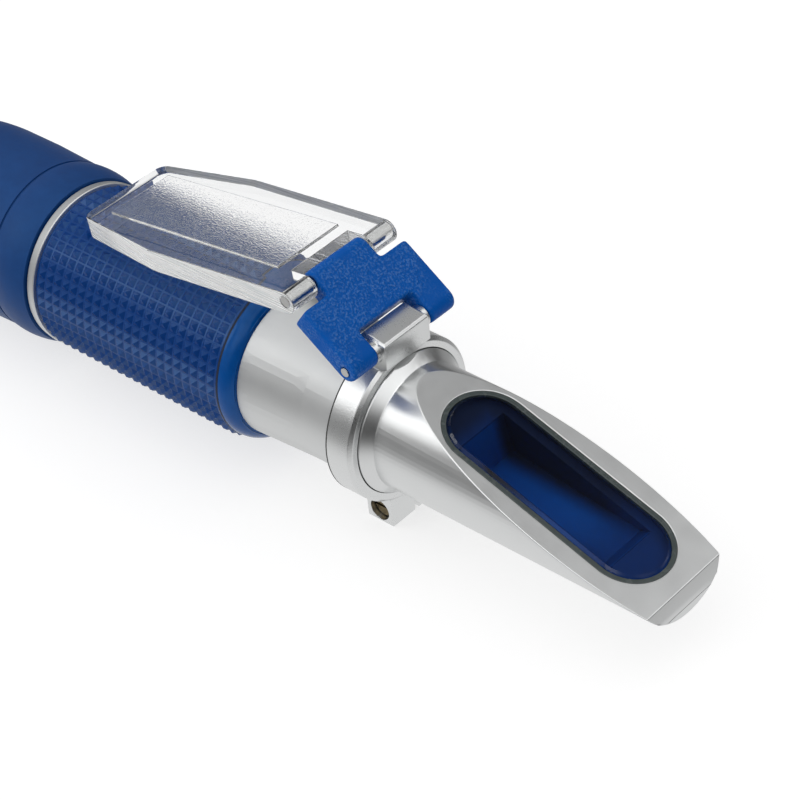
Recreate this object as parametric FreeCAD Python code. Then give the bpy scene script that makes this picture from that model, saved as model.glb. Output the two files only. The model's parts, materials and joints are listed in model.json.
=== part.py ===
import FreeCAD, Part
import math
import os

# Handheld refractometer, in millimetres.
# +X runs along the optical axis to the prism tip, +Z is up, and Y runs across, along both hinge pins.
# The origin lies on the optical axis, in the middle of the bare cylindrical land of the barrel.

os.makedirs("parts", exist_ok=True)

V = FreeCAD.Vector
X_AXIS = V(1, 0, 0)
Y_AXIS = V(0, 1, 0)
Z_AXIS = V(0, 0, 1)

# Named clearances
RUN_FIT = 0.03            # radial gap of a pin or shaft that turns or slides
SEAT_FIT = 0.02           # radial gap of a piece that is pushed or screwed into a seat
HINGE_SIDE_GAP = 0.1      # side gap between a hinge cheek and the boss it turns against
FACE_GAP = 0.05           # gap between flat faces that slide past each other
THROUGH_GAP = 0.25        # radial gap of a screw in a hole that it only passes through
PAST = 1.0                # how far a cutter runs past the face that it cuts

# Barrel: a turned tube with a bare land, a taper, a seat for the grip and a journal at the rear
LAND_RADIUS = 12.1
LAND_LENGTH = 7.6
TAPER_LENGTH = 13.4
GRIP_SEAT_RADIUS = 12.4
SEAT_SHOULDER = 0.33
TAPER_END_RADIUS = GRIP_SEAT_RADIUS + SEAT_SHOULDER
JOURNAL_STEP = 0.9
JOURNAL_RADIUS = GRIP_SEAT_RADIUS - JOURNAL_STEP
JOURNAL_LENGTH = 14.2
BORE_RADIUS = 8.0
SOCKET_DEPTH = 5.8

# Grip sleeve and the rings that hold it
FRONT_RING_WIDTH = 3.05
FRONT_RING_HEIGHT = 2.06
FRONT_RING_RADIUS = GRIP_SEAT_RADIUS + FRONT_RING_HEIGHT
FRONT_RING_LIP = 0.35
FRONT_RING_SAG = 0.36
GRIP_LENGTH = 43.7
GRIP_WALL = 2.6
GRIP_RADIUS = GRIP_SEAT_RADIUS + GRIP_WALL
GRIP_EDGE = 0.5
REAR_RING_WIDTH = 1.83
REAR_RING_HEIGHT = 2.62
REAR_RING_FALL = 0.21
REAR_RING_FRONT_RADIUS = GRIP_SEAT_RADIUS + REAR_RING_HEIGHT
REAR_RING_REAR_RADIUS = REAR_RING_FRONT_RADIUS - REAR_RING_FALL
REAR_RING_EDGE = 0.15

# Split clamp collar with its hinge block and clamp lugs
COLLAR_LENGTH = 5.2
COLLAR_WALL = 2.1
COLLAR_RADIUS = LAND_RADIUS + COLLAR_WALL
COLLAR_CHAMFER = 0.6
COLLAR_LIP_GAP = 0.1
SLIT_WIDTH = 1.0
LUG_HALF_WIDTH = 5.85
LUG_LENGTH = 5.5
LUG_FRONT_STEP = 0.5
LUG_DROP = 4.65
LUG_FLOOR = COLLAR_RADIUS + LUG_DROP
LUG_ROUND = 0.4
BLOCK_HALF_WIDTH = 5.12
BLOCK_RISE = 4.88
BLOCK_TOP = COLLAR_RADIUS + BLOCK_RISE
BLOCK_TOP_FALL = 0.54
BLOCK_REAR_STEP = 1.27
BLOCK_FRONT_OVERHANG = 1.1
BLOCK_REAR_CHAMFER = 0.45
BLOCK_FRONT_BEVEL = 0.45
BLOCK_SIDE_CHAMFER = 0.5
BLOCK_LAP = 0.5
BLOCK_FOOT = COLLAR_RADIUS - BLOCK_LAP

# Clamp screw of the collar
CLAMP_SCREW_SETBACK = 3.35
CLAMP_SCREW_LIFT = 2.45
CLAMP_SCREW_DROP = LUG_FLOOR - CLAMP_SCREW_LIFT
CLAMP_SCREW_RADIUS = 1.1
CLAMP_SCREW_TIP_INSET = 0.85
CLAMP_HEAD_RADIUS = 1.75
CLAMP_HEAD_HEIGHT = 1.5
CLAMP_BORE_RADIUS = 1.95
CLAMP_BORE_DEPTH = 2.5
SCREW_SLOT_WIDTH = 0.45
SCREW_SLOT_DEPTH = 0.6

# Bracket between the collar and the daylight plate, measured along the arm from its own pin
BRACKET_PIN_SETBACK = 1.36
BRACKET_PIN_RISE = 2.36
BRACKET_PIN_HEIGHT = COLLAR_RADIUS + BRACKET_PIN_RISE
BRACKET_PIN_RADIUS = 0.8
BRACKET_TILT = 35.37
BRACKET_TOP = 2.48
BRACKET_UNDERSIDE = 1.7
BRACKET_HALF_WIDTH = 11.76
BRACKET_FORK_HALF_WIDTH = 6.18
BRACKET_FORK_DEPTH = 3.65
BRACKET_SHOULDER = 10.89
BRACKET_TAB_HALF_WIDTH = 6.0
BRACKET_TAB_RADIUS = 1.86
BRACKET_NOSE_RADIUS = 2.0
BRACKET_ROUND = 0.4
ARM_REACH = 14.12
ARM_RISE = 0.62
PIVOT_BOSS_RADIUS = 1.9

# Daylight plate, measured from the pin of its hinge
PLATE_TILT = -8.05
PLATE_TOP = 1.73
PLATE_UNDERSIDE = 2.21
PLATE_LENGTH = 50.05
PLATE_BEND = 30.88
PLATE_TIP_HALF_WIDTH = 9.19
PLATE_BEND_HALF_WIDTH = 12.19
PLATE_HINGE_HALF_WIDTH = 11.85
PLATE_TIP_CORNER = 1.6
PLATE_NOSE_REACH = 1.82
PLATE_ROUND = 0.3
PLATE_SLOT_DEPTH = 3.44
PLATE_SLOT_SIDE_GAP = 0.46
PLATE_PIN_RADIUS = 1.0
PAD_HEIGHT = 0.4
PAD_START = 5.8
PAD_END = 45.5
PAD_HINGE_HALF_WIDTH = 6.9
PAD_TIP_HALF_WIDTH = 6.6

# Prism housing: flange, shoulder and a cylinder cut by the slanted face
SOCKET_WALL = 2.7
STEM_RADIUS = LAND_RADIUS - SOCKET_WALL
STEM_GAP = 0.2
STEM_BORE_RADIUS = 6.5
STEM_BORE_LENGTH = 10.6
FLANGE_HEIGHT = 0.25
FLANGE_RADIUS = LAND_RADIUS + FLANGE_HEIGHT
FLANGE_LENGTH = 1.8
FLANGE_STEP = 0.2
SHOULDER_LENGTH = 1.7
HOUSING_RADIUS = 10.86
HOUSING_LENGTH = 54.3
TIP_CHAMFER = 0.4
TIP_BEVEL_HEIGHT = 1.2
TIP_BEVEL_DEPTH = 0.32
FACE_HEIGHT = 12.03
FACE_ANGLE = 18.78
CHANNEL_RADIUS = 4.3
CHANNEL_DROP = 1.3
BARREL_SEAL_THICKNESS = 0.4

# Window in the slanted face, with its seal and the prism behind it
WINDOW_SETBACK = 29.8
SEAL_HALF_STRAIGHT = 13.96
SEAL_RADIUS = 7.54
SEAL_DEPTH = 2.2
SEAL_RECESS = 0.05
GLASS_HALF_STRAIGHT = 14.1
GLASS_RADIUS = 6.6
GLASS_PROUD = 0.2
GLASS_BEVEL = 0.62
PRISM_HALF_WIDTH = 4.9
PRISM_FLOOR = 6.9
PRISM_START = 14.8
PRISM_FLOOR_LENGTH = 26.0
PRISM_LENGTH = 28.5
PRISM_SIDE_GAP = 0.3
CAVITY_LAP = 0.5
BACKING_THICKNESS = 0.6

# Set screws that hold the housing's stem in the barrel
SET_SCREW_COUNT = 3
SET_SCREW_RADIUS = 1.0
SET_SCREW_BITE = 0.8
SET_SCREW_RECESS = 0.2
SET_SCREW_SETBACK = 2.4
HEX_SOCKET = 0.5
HEX_DEPTH = 1.0

# Objective group: a lens cell on a bimetal strip, moved by the calibration screw
STRIP_THICKNESS = 0.4
STRIP_WIDTH = 4.4
STRIP_DROP = 2.1
STRIP_HEIGHT = BORE_RADIUS - STRIP_DROP
STRIP_ROOT = 36.4
STRIP_ROOT_HALF_LENGTH = 3.5
STRIP_FRONT = 8.2
OBJECTIVE_RADIUS = 5.8
OBJECTIVE_LENGTH = 6.0
OBJECTIVE_SETBACK = 2.2
OBJECTIVE_LENS_RADIUS = 4.8
OBJECTIVE_LENS_THICKNESS = 2.6
OBJECTIVE_LENS_EDGE = 1.2
OBJECTIVE_SEAT_INSET = 1.6
OBJECTIVE_APERTURE = 4.2
OBJECTIVE_RING_THICKNESS = 1.0
NUT_BLOCK_LENGTH = 5.2
NUT_BLOCK_HALF_WIDTH = 2.5
NUT_BLOCK_HEIGHT = 2.0
NUT_BLOCK_FLOOR = STRIP_HEIGHT - NUT_BLOCK_HEIGHT
RIVET_RADIUS = 0.6
RIVET_HEAD_RADIUS = 1.0
RIVET_HEAD_HEIGHT = 0.4
RIVET_BITE = 1.0
RIVET_POSITIONS = (5.2, 7.0)
ANCHOR_HALF_WIDTH = 2.2
ANCHOR_SCREW_RADIUS = 0.8
ANCHOR_SCREW_OFFSET = 1.8
ANCHOR_HEAD_RADIUS = 1.5
ANCHOR_HEAD_HEIGHT = 0.9
CLAMP_PLATE_THICKNESS = 0.8

# Calibration screw, held in the top of the barrel
CALIBRATION_SETBACK = 7.6
CALIBRATION_RADIUS = 1.0
CALIBRATION_TIP_HEIGHT = 4.5
CALIBRATION_HEAD_RADIUS = 1.8
CALIBRATION_HEAD_HEIGHT = 1.2
CALIBRATION_RECESS = 0.3
CALIBRATION_CLIP_RADIUS = 1.7
CALIBRATION_CLIP_THICKNESS = 0.4
CALIBRATION_CLIP_GAP = 0.3
CALIBRATION_CLIP_TOP = BORE_RADIUS - CALIBRATION_CLIP_GAP

# Scale: a glass disc in a holder in front of the eyepiece
RETICLE_SETBACK = 55.0
RETICLE_HOLDER_WALL = 1.2
RETICLE_RADIUS = BORE_RADIUS - RETICLE_HOLDER_WALL
RETICLE_THICKNESS = 1.5
RETICLE_HOLDER_LENGTH = 5.0
RETICLE_APERTURE = 6.0
RETICLE_LIP = 0.5
RETICLE_RING_THICKNESS = 1.2
FIELD_STOP_THICKNESS = 0.5
FIELD_STOP_APERTURE = 5.2

# Eyepiece: a lens cell that slides in the barrel and is driven by the thread of a captive ring
FOCUS_FRONT_GAP = 0.35
FOCUS_SLEEVE_LENGTH = 24.9
FOCUS_JOURNAL_LENGTH = 11.4
FOCUS_SEAT_STEP = 1.1
FOCUS_SEAT_RADIUS = JOURNAL_RADIUS + FOCUS_SEAT_STEP
FOCUS_SLEEVE_WALL = 1.3
FOCUS_SLEEVE_RADIUS = FOCUS_SEAT_RADIUS + FOCUS_SLEEVE_WALL
CIRCLIP_GROOVE_DEPTH = 0.6
CIRCLIP_THICKNESS = 0.8
CIRCLIP_SIDE_GAP = 0.3
CIRCLIP_RADIUS = FOCUS_SEAT_RADIUS - CIRCLIP_SIDE_GAP
CIRCLIP_GAP_ANGLE = 30.0
NUT_FRONT_GAP = 1.0
NUT_LENGTH = 8.5
NUT_WALL = 2.6
CELL_THREAD_RADIUS = FOCUS_SEAT_RADIUS - NUT_WALL
CELL_FRONT_LENGTH = 8.0
CELL_FLANGE_GAP = 2.5
CELL_FLANGE_LENGTH = 9.0
CELL_BORE_RADIUS = 5.8
EYE_LENS_RADIUS = 7.6
EYE_LENS_THICKNESS = 4.4
EYE_LENS_EDGE = 1.6
EYE_LENS_RING_THICKNESS = 1.2
EYE_LENS_RING_APERTURE = 6.8
FIELD_LENS_RADIUS = 6.2
FIELD_LENS_THICKNESS = 2.8
FIELD_LENS_EDGE = 1.2
FIELD_LENS_RING_THICKNESS = 0.9
FIELD_LENS_RING_APERTURE = 5.5
FOCUS_TRAVEL = 1.5
KEY_RADIUS = 1.0
KEY_DEPTH = 0.9
KEY_TIP_GAP = 0.1
KEY_HEAD_RADIUS = 1.7
KEY_HEAD_HEIGHT = 1.1
KEY_HEAD_RECESS = 0.15
KEY_SETBACK_FROM_END = 4.4

# Rubber eyecup over the focus sleeve
EYECUP_FRONT_WALL = 1.3
EYECUP_FRONT_RADIUS = FOCUS_SLEEVE_RADIUS + EYECUP_FRONT_WALL
EYECUP_BAND_LENGTH = 7.5
EYECUP_BAND_WALL = 2.05
EYECUP_BAND_RADIUS = FOCUS_SLEEVE_RADIUS + EYECUP_BAND_WALL
EYECUP_CREASE_WALL = 1.82
EYECUP_CREASE_RADIUS = FOCUS_SLEEVE_RADIUS + EYECUP_CREASE_WALL
EYECUP_CREASE_WIDTH = 0.5
EYECUP_CREASE_DEPTH = 0.35
EYECUP_FLARE_LENGTH = 10.0
EYECUP_WALL = 2.2
EYECUP_RADIUS = FOCUS_SLEEVE_RADIUS + EYECUP_WALL
EYECUP_GRIP_LENGTH = 8.0
EYECUP_LIP_LENGTH = 7.4
EYECUP_LIP_FALL = 0.7
EYECUP_LIP_RADIUS = EYECUP_RADIUS - EYECUP_LIP_FALL
EYECUP_LIP_THICKNESS = 0.9
EYECUP_LIP_SAG = 0.15
EYECUP_WEB_THICKNESS = 1.5
EYECUP_WEB_RADIUS = 11.2

# Stations along the optical axis, worked out from the lengths above
LAND_FRONT = LAND_LENGTH / 2
LAND_REAR = -LAND_LENGTH / 2
TAPER_REAR = LAND_REAR - TAPER_LENGTH
FRONT_RING_REAR = TAPER_REAR - FRONT_RING_WIDTH
GRIP_REAR = FRONT_RING_REAR - GRIP_LENGTH
REAR_RING_REAR = GRIP_REAR - REAR_RING_WIDTH
BARREL_REAR = REAR_RING_REAR - JOURNAL_LENGTH
COLLAR_FRONT = LAND_FRONT + COLLAR_LENGTH
FLANGE_FRONT = COLLAR_FRONT + FLANGE_STEP
FLANGE_REAR = FLANGE_FRONT - FLANGE_LENGTH
BARREL_FRONT = FLANGE_REAR - BARREL_SEAL_THICKNESS
STEM_REAR = FLANGE_REAR - SOCKET_DEPTH - BARREL_SEAL_THICKNESS + STEM_GAP
HOUSING_FRONT = FLANGE_FRONT + HOUSING_LENGTH
FOCUS_FRONT = REAR_RING_REAR - FOCUS_FRONT_GAP
FOCUS_SHOULDER = FOCUS_FRONT - FOCUS_JOURNAL_LENGTH
FOCUS_REAR = FOCUS_FRONT - FOCUS_SLEEVE_LENGTH
CIRCLIP_FRONT = FOCUS_SHOULDER - FACE_GAP
NUT_FRONT = BARREL_REAR - NUT_FRONT_GAP
NUT_REAR = NUT_FRONT - NUT_LENGTH
CELL_FRONT = BARREL_REAR + CELL_FRONT_LENGTH
CELL_FLANGE_FRONT = BARREL_REAR - CELL_FLANGE_GAP
CELL_REAR = CELL_FLANGE_FRONT - CELL_FLANGE_LENGTH
KEY_STATION = BARREL_REAR + KEY_SETBACK_FROM_END
EYECUP_BAND_REAR = FOCUS_FRONT - EYECUP_BAND_LENGTH
EYECUP_CREASE_REAR = EYECUP_BAND_REAR - EYECUP_CREASE_WIDTH
EYECUP_FLARE_REAR = EYECUP_CREASE_REAR - EYECUP_FLARE_LENGTH
EYECUP_GRIP_REAR = EYECUP_FLARE_REAR - EYECUP_GRIP_LENGTH
EYECUP_REAR = EYECUP_GRIP_REAR - EYECUP_LIP_LENGTH
OBJECTIVE_REAR = -CALIBRATION_SETBACK + OBJECTIVE_SETBACK
OBJECTIVE_FRONT = OBJECTIVE_REAR + OBJECTIVE_LENGTH
STRIP_PIVOT_X = -CALIBRATION_SETBACK - STRIP_ROOT
RETICLE_FRONT = -RETICLE_SETBACK

# Hinge pins of the bracket and of the daylight plate
BRACKET_PIN = V(COLLAR_FRONT - BRACKET_PIN_SETBACK, 0, BRACKET_PIN_HEIGHT)
TILT = math.radians(BRACKET_TILT)
PLATE_PIN = BRACKET_PIN + V(
    -ARM_REACH * math.cos(TILT) + ARM_RISE * math.sin(TILT),
    0,
    ARM_REACH * math.sin(TILT) + ARM_RISE * math.cos(TILT),
)


def face_height(x):
    """Height of the slanted face's plane above the axis at station x."""
    return FACE_HEIGHT - (x - FLANGE_FRONT) * math.tan(math.radians(FACE_ANGLE))


WINDOW_X = FLANGE_FRONT + WINDOW_SETBACK
WINDOW_CENTRE = V(WINDOW_X, 0, face_height(WINDOW_X))


def outline(steps, place):
    """Closed wire. A step is (u, v) for a line to that point, or (um, vm, u, v) for an arc through um, vm."""
    start = steps[0]
    here = start
    edges = []
    for step in list(steps[1:]) + [start]:
        end = step[-2:]
        if math.hypot(end[0] - here[0], end[1] - here[1]) < 1e-6:
            continue
        if len(step) == 4:
            edges.append(Part.Arc(place(*here), place(*step[:2]), place(*end)).toShape())
        else:
            edges.append(Part.LineSegment(place(*here), place(*end)).toShape())
        here = end
    return Part.Wire(edges)


def turned(steps):
    """Solid turned about the optical axis from an outline of (x, radius) steps."""
    face = Part.Face(outline(steps, lambda x, r: V(x, 0, r)))
    return face.revolve(V(0, 0, 0), X_AXIS, 360)


def ring(rear, front, outer, inner):
    """Plain turned ring between two stations."""
    return turned([(rear, inner), (rear, outer), (front, outer), (front, inner)])


def rod(start, direction, radius, length):
    return Part.makeCylinder(radius, length, start, direction)


def block(x0, x1, half_width, z0, z1):
    """Box that lies evenly to both sides of the middle plane."""
    return Part.makeBox(x1 - x0, 2 * half_width, z1 - z0, V(x0, -half_width, z0))


def side_profile(steps, half_width):
    """Solid with the given side outline of (x, z) steps, as wide to both sides of the middle plane."""
    face = Part.Face(outline(steps, lambda x, z: V(x, -half_width, z)))
    return face.extrude(V(0, 2 * half_width, 0))


def plan_profile(steps, low, high):
    """Solid with the given plan outline of (x, y) steps between two heights."""
    face = Part.Face(outline(steps, lambda x, y: V(x, y, low)))
    return face.extrude(V(0, 0, high - low))


def hinged(shape, pin, tilt):
    """Shape drawn about its own pin, tilted about the pin and set in its place."""
    placed = shape.copy()
    placed.rotate(V(0, 0, 0), Y_AXIS, tilt)
    placed.translate(pin)
    return placed


def on_face(shape):
    """Shape drawn on a level window, set on the slanted face."""
    return hinged(shape, WINDOW_CENTRE, FACE_ANGLE)


def stadium(half_straight, radius, low, high):
    """Slab with two straight sides and two round ends, long side along X."""
    steps = [
        (-half_straight, -radius),
        (half_straight, -radius),
        (half_straight + radius, 0, half_straight, radius),
        (-half_straight, radius),
        (-half_straight - radius, 0, -half_straight, -radius),
    ]
    return plan_profile(steps, low, high)


def round_edges(shape, radius, chosen):
    """Fillet on the edges that the chooser accepts by their middle point and direction."""
    edges = []
    for edge in shape.Edges:
        middle = edge.valueAt((edge.FirstParameter + edge.LastParameter) / 2)
        if chosen(edge, middle):
            edges.append(edge)
    return shape.makeFillet(radius, edges)


def slotted(head, centre, direction, across, radius):
    """Screwdriver slot cut into a head whose outer face is centred on the given point."""
    third = direction.cross(across)
    corner = centre - direction * SCREW_SLOT_DEPTH - across * radius - third * (SCREW_SLOT_WIDTH / 2)
    length = across * (2 * radius)
    width = third * SCREW_SLOT_WIDTH
    rim = Part.makePolygon([corner, corner + length, corner + length + width, corner + width, corner])
    return head.cut(Part.Face(rim).extrude(direction * (2 * SCREW_SLOT_DEPTH)))


def taper_radius(x):
    """Radius of the barrel's outside at a station between the land and the front ring."""
    share = (LAND_REAR - x) / TAPER_LENGTH
    return LAND_RADIUS + (TAPER_END_RADIUS - LAND_RADIUS) * share


def set_screw_directions():
    turns = [2 * math.pi * k / SET_SCREW_COUNT for k in range(SET_SCREW_COUNT)]
    return [V(0, math.cos(turn + math.pi / 6), math.sin(turn + math.pi / 6)) for turn in turns]


SET_SCREW_X = BARREL_FRONT - SET_SCREW_SETBACK
CALIBRATION_TOP = taper_radius(-CALIBRATION_SETBACK) - CALIBRATION_RECESS
CALIBRATION_SEAT = CALIBRATION_TOP - CALIBRATION_HEAD_HEIGHT


def barrel_tube():
    tube = turned([
        (BARREL_REAR, BORE_RADIUS),
        (BARREL_REAR, JOURNAL_RADIUS),
        (REAR_RING_REAR, JOURNAL_RADIUS),
        (REAR_RING_REAR, GRIP_SEAT_RADIUS),
        (TAPER_REAR, GRIP_SEAT_RADIUS),
        (TAPER_REAR, TAPER_END_RADIUS),
        (LAND_REAR, LAND_RADIUS),
        (BARREL_FRONT, LAND_RADIUS),
        (BARREL_FRONT, STEM_RADIUS + SEAT_FIT),
        (BARREL_FRONT - SOCKET_DEPTH, STEM_RADIUS + SEAT_FIT),
        (BARREL_FRONT - SOCKET_DEPTH, BORE_RADIUS),
    ])
    groove_floor = JOURNAL_RADIUS - CIRCLIP_GROOVE_DEPTH
    groove = ring(CIRCLIP_FRONT - CIRCLIP_THICKNESS, CIRCLIP_FRONT, JOURNAL_RADIUS + PAST, groove_floor)
    cuts = [groove]
    for way in set_screw_directions():
        cuts.append(rod(V(SET_SCREW_X, 0, 0), way, SET_SCREW_RADIUS, LAND_RADIUS + PAST))
    calibration = V(-CALIBRATION_SETBACK, 0, 0)
    cuts.append(rod(calibration, Z_AXIS, CALIBRATION_RADIUS + RUN_FIT, LAND_RADIUS + PAST))
    head_radius = CALIBRATION_HEAD_RADIUS + RUN_FIT
    cuts.append(rod(calibration + Z_AXIS * CALIBRATION_SEAT, Z_AXIS, head_radius, LAND_RADIUS))
    for x in anchor_screw_stations():
        cuts.append(rod(V(x, 0, 0), Z_AXIS, ANCHOR_SCREW_RADIUS, GRIP_SEAT_RADIUS + PAST))
        seat = GRIP_SEAT_RADIUS - ANCHOR_HEAD_HEIGHT
        cuts.append(rod(V(x, 0, seat), Z_AXIS, ANCHOR_HEAD_RADIUS, ANCHOR_HEAD_HEIGHT + PAST))
    key = V(KEY_STATION, 0, 0)
    cuts.append(rod(key, -Z_AXIS, KEY_RADIUS, JOURNAL_RADIUS + PAST))
    cuts.append(rod(key - Z_AXIS * key_seat(), -Z_AXIS, KEY_HEAD_RADIUS, KEY_HEAD_HEIGHT + PAST))
    return tube.cut(cuts)


def front_grip_ring():
    crown = FRONT_RING_REAR + FRONT_RING_LIP
    middle_x = (TAPER_REAR + crown) / 2 + FRONT_RING_SAG
    middle_r = (TAPER_END_RADIUS + FRONT_RING_RADIUS) / 2 + FRONT_RING_SAG
    return turned([
        (FRONT_RING_REAR, GRIP_SEAT_RADIUS),
        (FRONT_RING_REAR, FRONT_RING_RADIUS),
        (crown, FRONT_RING_RADIUS),
        (middle_x, middle_r, TAPER_REAR, TAPER_END_RADIUS),
        (TAPER_REAR, GRIP_SEAT_RADIUS),
    ])


def grip_sleeve():
    return turned([
        (GRIP_REAR, GRIP_SEAT_RADIUS),
        (GRIP_REAR, GRIP_RADIUS - GRIP_EDGE),
        (GRIP_REAR + GRIP_EDGE, GRIP_RADIUS),
        (FRONT_RING_REAR - GRIP_EDGE, GRIP_RADIUS),
        (FRONT_RING_REAR, GRIP_RADIUS - GRIP_EDGE),
        (FRONT_RING_REAR, GRIP_SEAT_RADIUS),
    ])


def rear_grip_ring():
    return turned([
        (REAR_RING_REAR, GRIP_SEAT_RADIUS),
        (REAR_RING_REAR, REAR_RING_REAR_RADIUS - REAR_RING_EDGE),
        (REAR_RING_REAR + REAR_RING_EDGE, REAR_RING_REAR_RADIUS),
        (GRIP_REAR - REAR_RING_EDGE, REAR_RING_FRONT_RADIUS),
        (GRIP_REAR, REAR_RING_FRONT_RADIUS - REAR_RING_EDGE),
        (GRIP_REAR, GRIP_SEAT_RADIUS),
    ])


def hinge_block():
    rear = LAND_FRONT + BLOCK_REAR_STEP
    front = COLLAR_FRONT + BLOCK_FRONT_OVERHANG
    top_front = BLOCK_TOP - BLOCK_TOP_FALL
    body = side_profile([
        (rear, 0),
        (rear, BLOCK_TOP - BLOCK_REAR_CHAMFER),
        (rear + BLOCK_REAR_CHAMFER, BLOCK_TOP),
        (front - BLOCK_FRONT_BEVEL, top_front),
        (front, top_front - BLOCK_FRONT_BEVEL),
        (front, BLOCK_FOOT),
        (COLLAR_FRONT - COLLAR_CHAMFER, BLOCK_FOOT - COLLAR_CHAMFER),
        (COLLAR_FRONT - COLLAR_CHAMFER, 0),
    ], BLOCK_HALF_WIDTH)
    for side in (-1, 1):
        edge = side * BLOCK_HALF_WIDTH
        inner = edge - side * BLOCK_SIDE_CHAMFER
        corner = Part.makePolygon([
            V(rear - PAST, inner, BLOCK_TOP + PAST),
            V(rear - PAST, inner, BLOCK_TOP),
            V(rear - PAST, edge, BLOCK_TOP - BLOCK_SIDE_CHAMFER),
            V(rear - PAST, edge + side * PAST, BLOCK_TOP - BLOCK_SIDE_CHAMFER),
            V(rear - PAST, edge + side * PAST, BLOCK_TOP + PAST),
            V(rear - PAST, inner, BLOCK_TOP + PAST),
        ])
        strip = Part.Face(corner).extrude(V(front - rear + 2 * PAST, 0, -BLOCK_TOP_FALL))
        body = body.cut(strip)
    boss_width = BRACKET_FORK_HALF_WIDTH - HINGE_SIDE_GAP
    boss = rod(BRACKET_PIN - Y_AXIS * boss_width, Y_AXIS, PIVOT_BOSS_RADIUS, 2 * boss_width)
    return body.fuse(boss)


def hinge_collar():
    hoop = turned([
        (LAND_FRONT, 0),
        (LAND_FRONT, COLLAR_RADIUS),
        (COLLAR_FRONT - COLLAR_CHAMFER, COLLAR_RADIUS),
        (COLLAR_FRONT, COLLAR_RADIUS - COLLAR_CHAMFER),
        (COLLAR_FRONT, 0),
    ])
    lug_front = COLLAR_FRONT - LUG_FRONT_STEP
    lugs = block(lug_front - LUG_LENGTH, lug_front, LUG_HALF_WIDTH, -LUG_FLOOR, 0)
    lugs = round_edges(lugs, LUG_ROUND, lambda edge, middle: middle.z < LUG_ROUND - LUG_FLOOR)
    body = hoop.fuse([lugs, hinge_block()])
    screw = V(COLLAR_FRONT - CLAMP_SCREW_SETBACK, 0, -CLAMP_SCREW_DROP)
    near = screw - Y_AXIS * LUG_HALF_WIDTH
    rear = lug_front - LUG_LENGTH - PAST
    cuts = [
        rod(V(rear, 0, 0), X_AXIS, LAND_RADIUS + SEAT_FIT, FLANGE_REAR - rear),
        rod(V(FLANGE_REAR, 0, 0), X_AXIS, FLANGE_RADIUS + COLLAR_LIP_GAP, COLLAR_LENGTH),
        block(rear, COLLAR_FRONT + PAST, SLIT_WIDTH / 2, -LUG_FLOOR - PAST, 0),
        rod(near, Y_AXIS, CLAMP_BORE_RADIUS, CLAMP_BORE_DEPTH),
        rod(near, Y_AXIS, CLAMP_SCREW_RADIUS + THROUGH_GAP, LUG_HALF_WIDTH),
        rod(screw, Y_AXIS, CLAMP_SCREW_RADIUS, LUG_HALF_WIDTH + PAST),
        rod(BRACKET_PIN - Y_AXIS * COLLAR_RADIUS, Y_AXIS, BRACKET_PIN_RADIUS + RUN_FIT, 2 * COLLAR_RADIUS),
    ]
    return body.cut(cuts)


def collar_screw():
    seat = V(COLLAR_FRONT - CLAMP_SCREW_SETBACK, CLAMP_BORE_DEPTH - LUG_HALF_WIDTH, -CLAMP_SCREW_DROP)
    length = 2 * LUG_HALF_WIDTH - CLAMP_BORE_DEPTH - CLAMP_SCREW_TIP_INSET
    shank = rod(seat, Y_AXIS, CLAMP_SCREW_RADIUS, length)
    head = rod(seat, -Y_AXIS, CLAMP_HEAD_RADIUS, CLAMP_HEAD_HEIGHT)
    head = slotted(head, seat - Y_AXIS * CLAMP_HEAD_HEIGHT, -Y_AXIS, X_AXIS, CLAMP_HEAD_RADIUS + PAST)
    return shank.fuse(head)


def hinge_bracket():
    middle = (BRACKET_TOP - BRACKET_UNDERSIDE) / 2
    nose = BRACKET_NOSE_RADIUS
    half = (BRACKET_TOP + BRACKET_UNDERSIDE) / 2
    tail_bottom = ARM_RISE - BRACKET_TAB_RADIUS
    side = side_profile([
        (0, -BRACKET_UNDERSIDE),
        (nose, middle, 0, BRACKET_TOP),
        (-ARM_REACH, BRACKET_TOP),
        (-ARM_REACH - BRACKET_TAB_RADIUS, ARM_RISE, -ARM_REACH, tail_bottom),
        (-BRACKET_SHOULDER, -BRACKET_UNDERSIDE),
    ], BRACKET_HALF_WIDTH)
    low = -2 * half
    high = 2 * half
    plan = block(-BRACKET_SHOULDER, 2 * nose, BRACKET_HALF_WIDTH, low, high)
    tab = block(-ARM_REACH - 2 * nose, -BRACKET_SHOULDER + PAST, BRACKET_TAB_HALF_WIDTH, low, high)
    plan = plan.fuse(tab).removeSplitter()
    fork = block(-BRACKET_FORK_DEPTH, 3 * nose, BRACKET_FORK_HALF_WIDTH, low, high)
    plan = plan.cut(fork)
    upright = lambda edge, centre: abs(edge.tangentAt(edge.FirstParameter).z) > 0.99
    plan = round_edges(plan, BRACKET_ROUND, upright)
    body = side.common(plan)
    width = 2 * (BRACKET_HALF_WIDTH + PAST)
    pin_hole = rod(V(0, -width / 2, 0), Y_AXIS, BRACKET_PIN_RADIUS, width)
    tab_hole = rod(V(-ARM_REACH, -width / 2, ARM_RISE), Y_AXIS, PLATE_PIN_RADIUS + RUN_FIT, width)
    return hinged(body.cut([pin_hole, tab_hole]), BRACKET_PIN, BRACKET_TILT)


def bracket_pin():
    start = BRACKET_PIN - Y_AXIS * BRACKET_HALF_WIDTH
    return rod(start, Y_AXIS, BRACKET_PIN_RADIUS, 2 * BRACKET_HALF_WIDTH)


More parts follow.
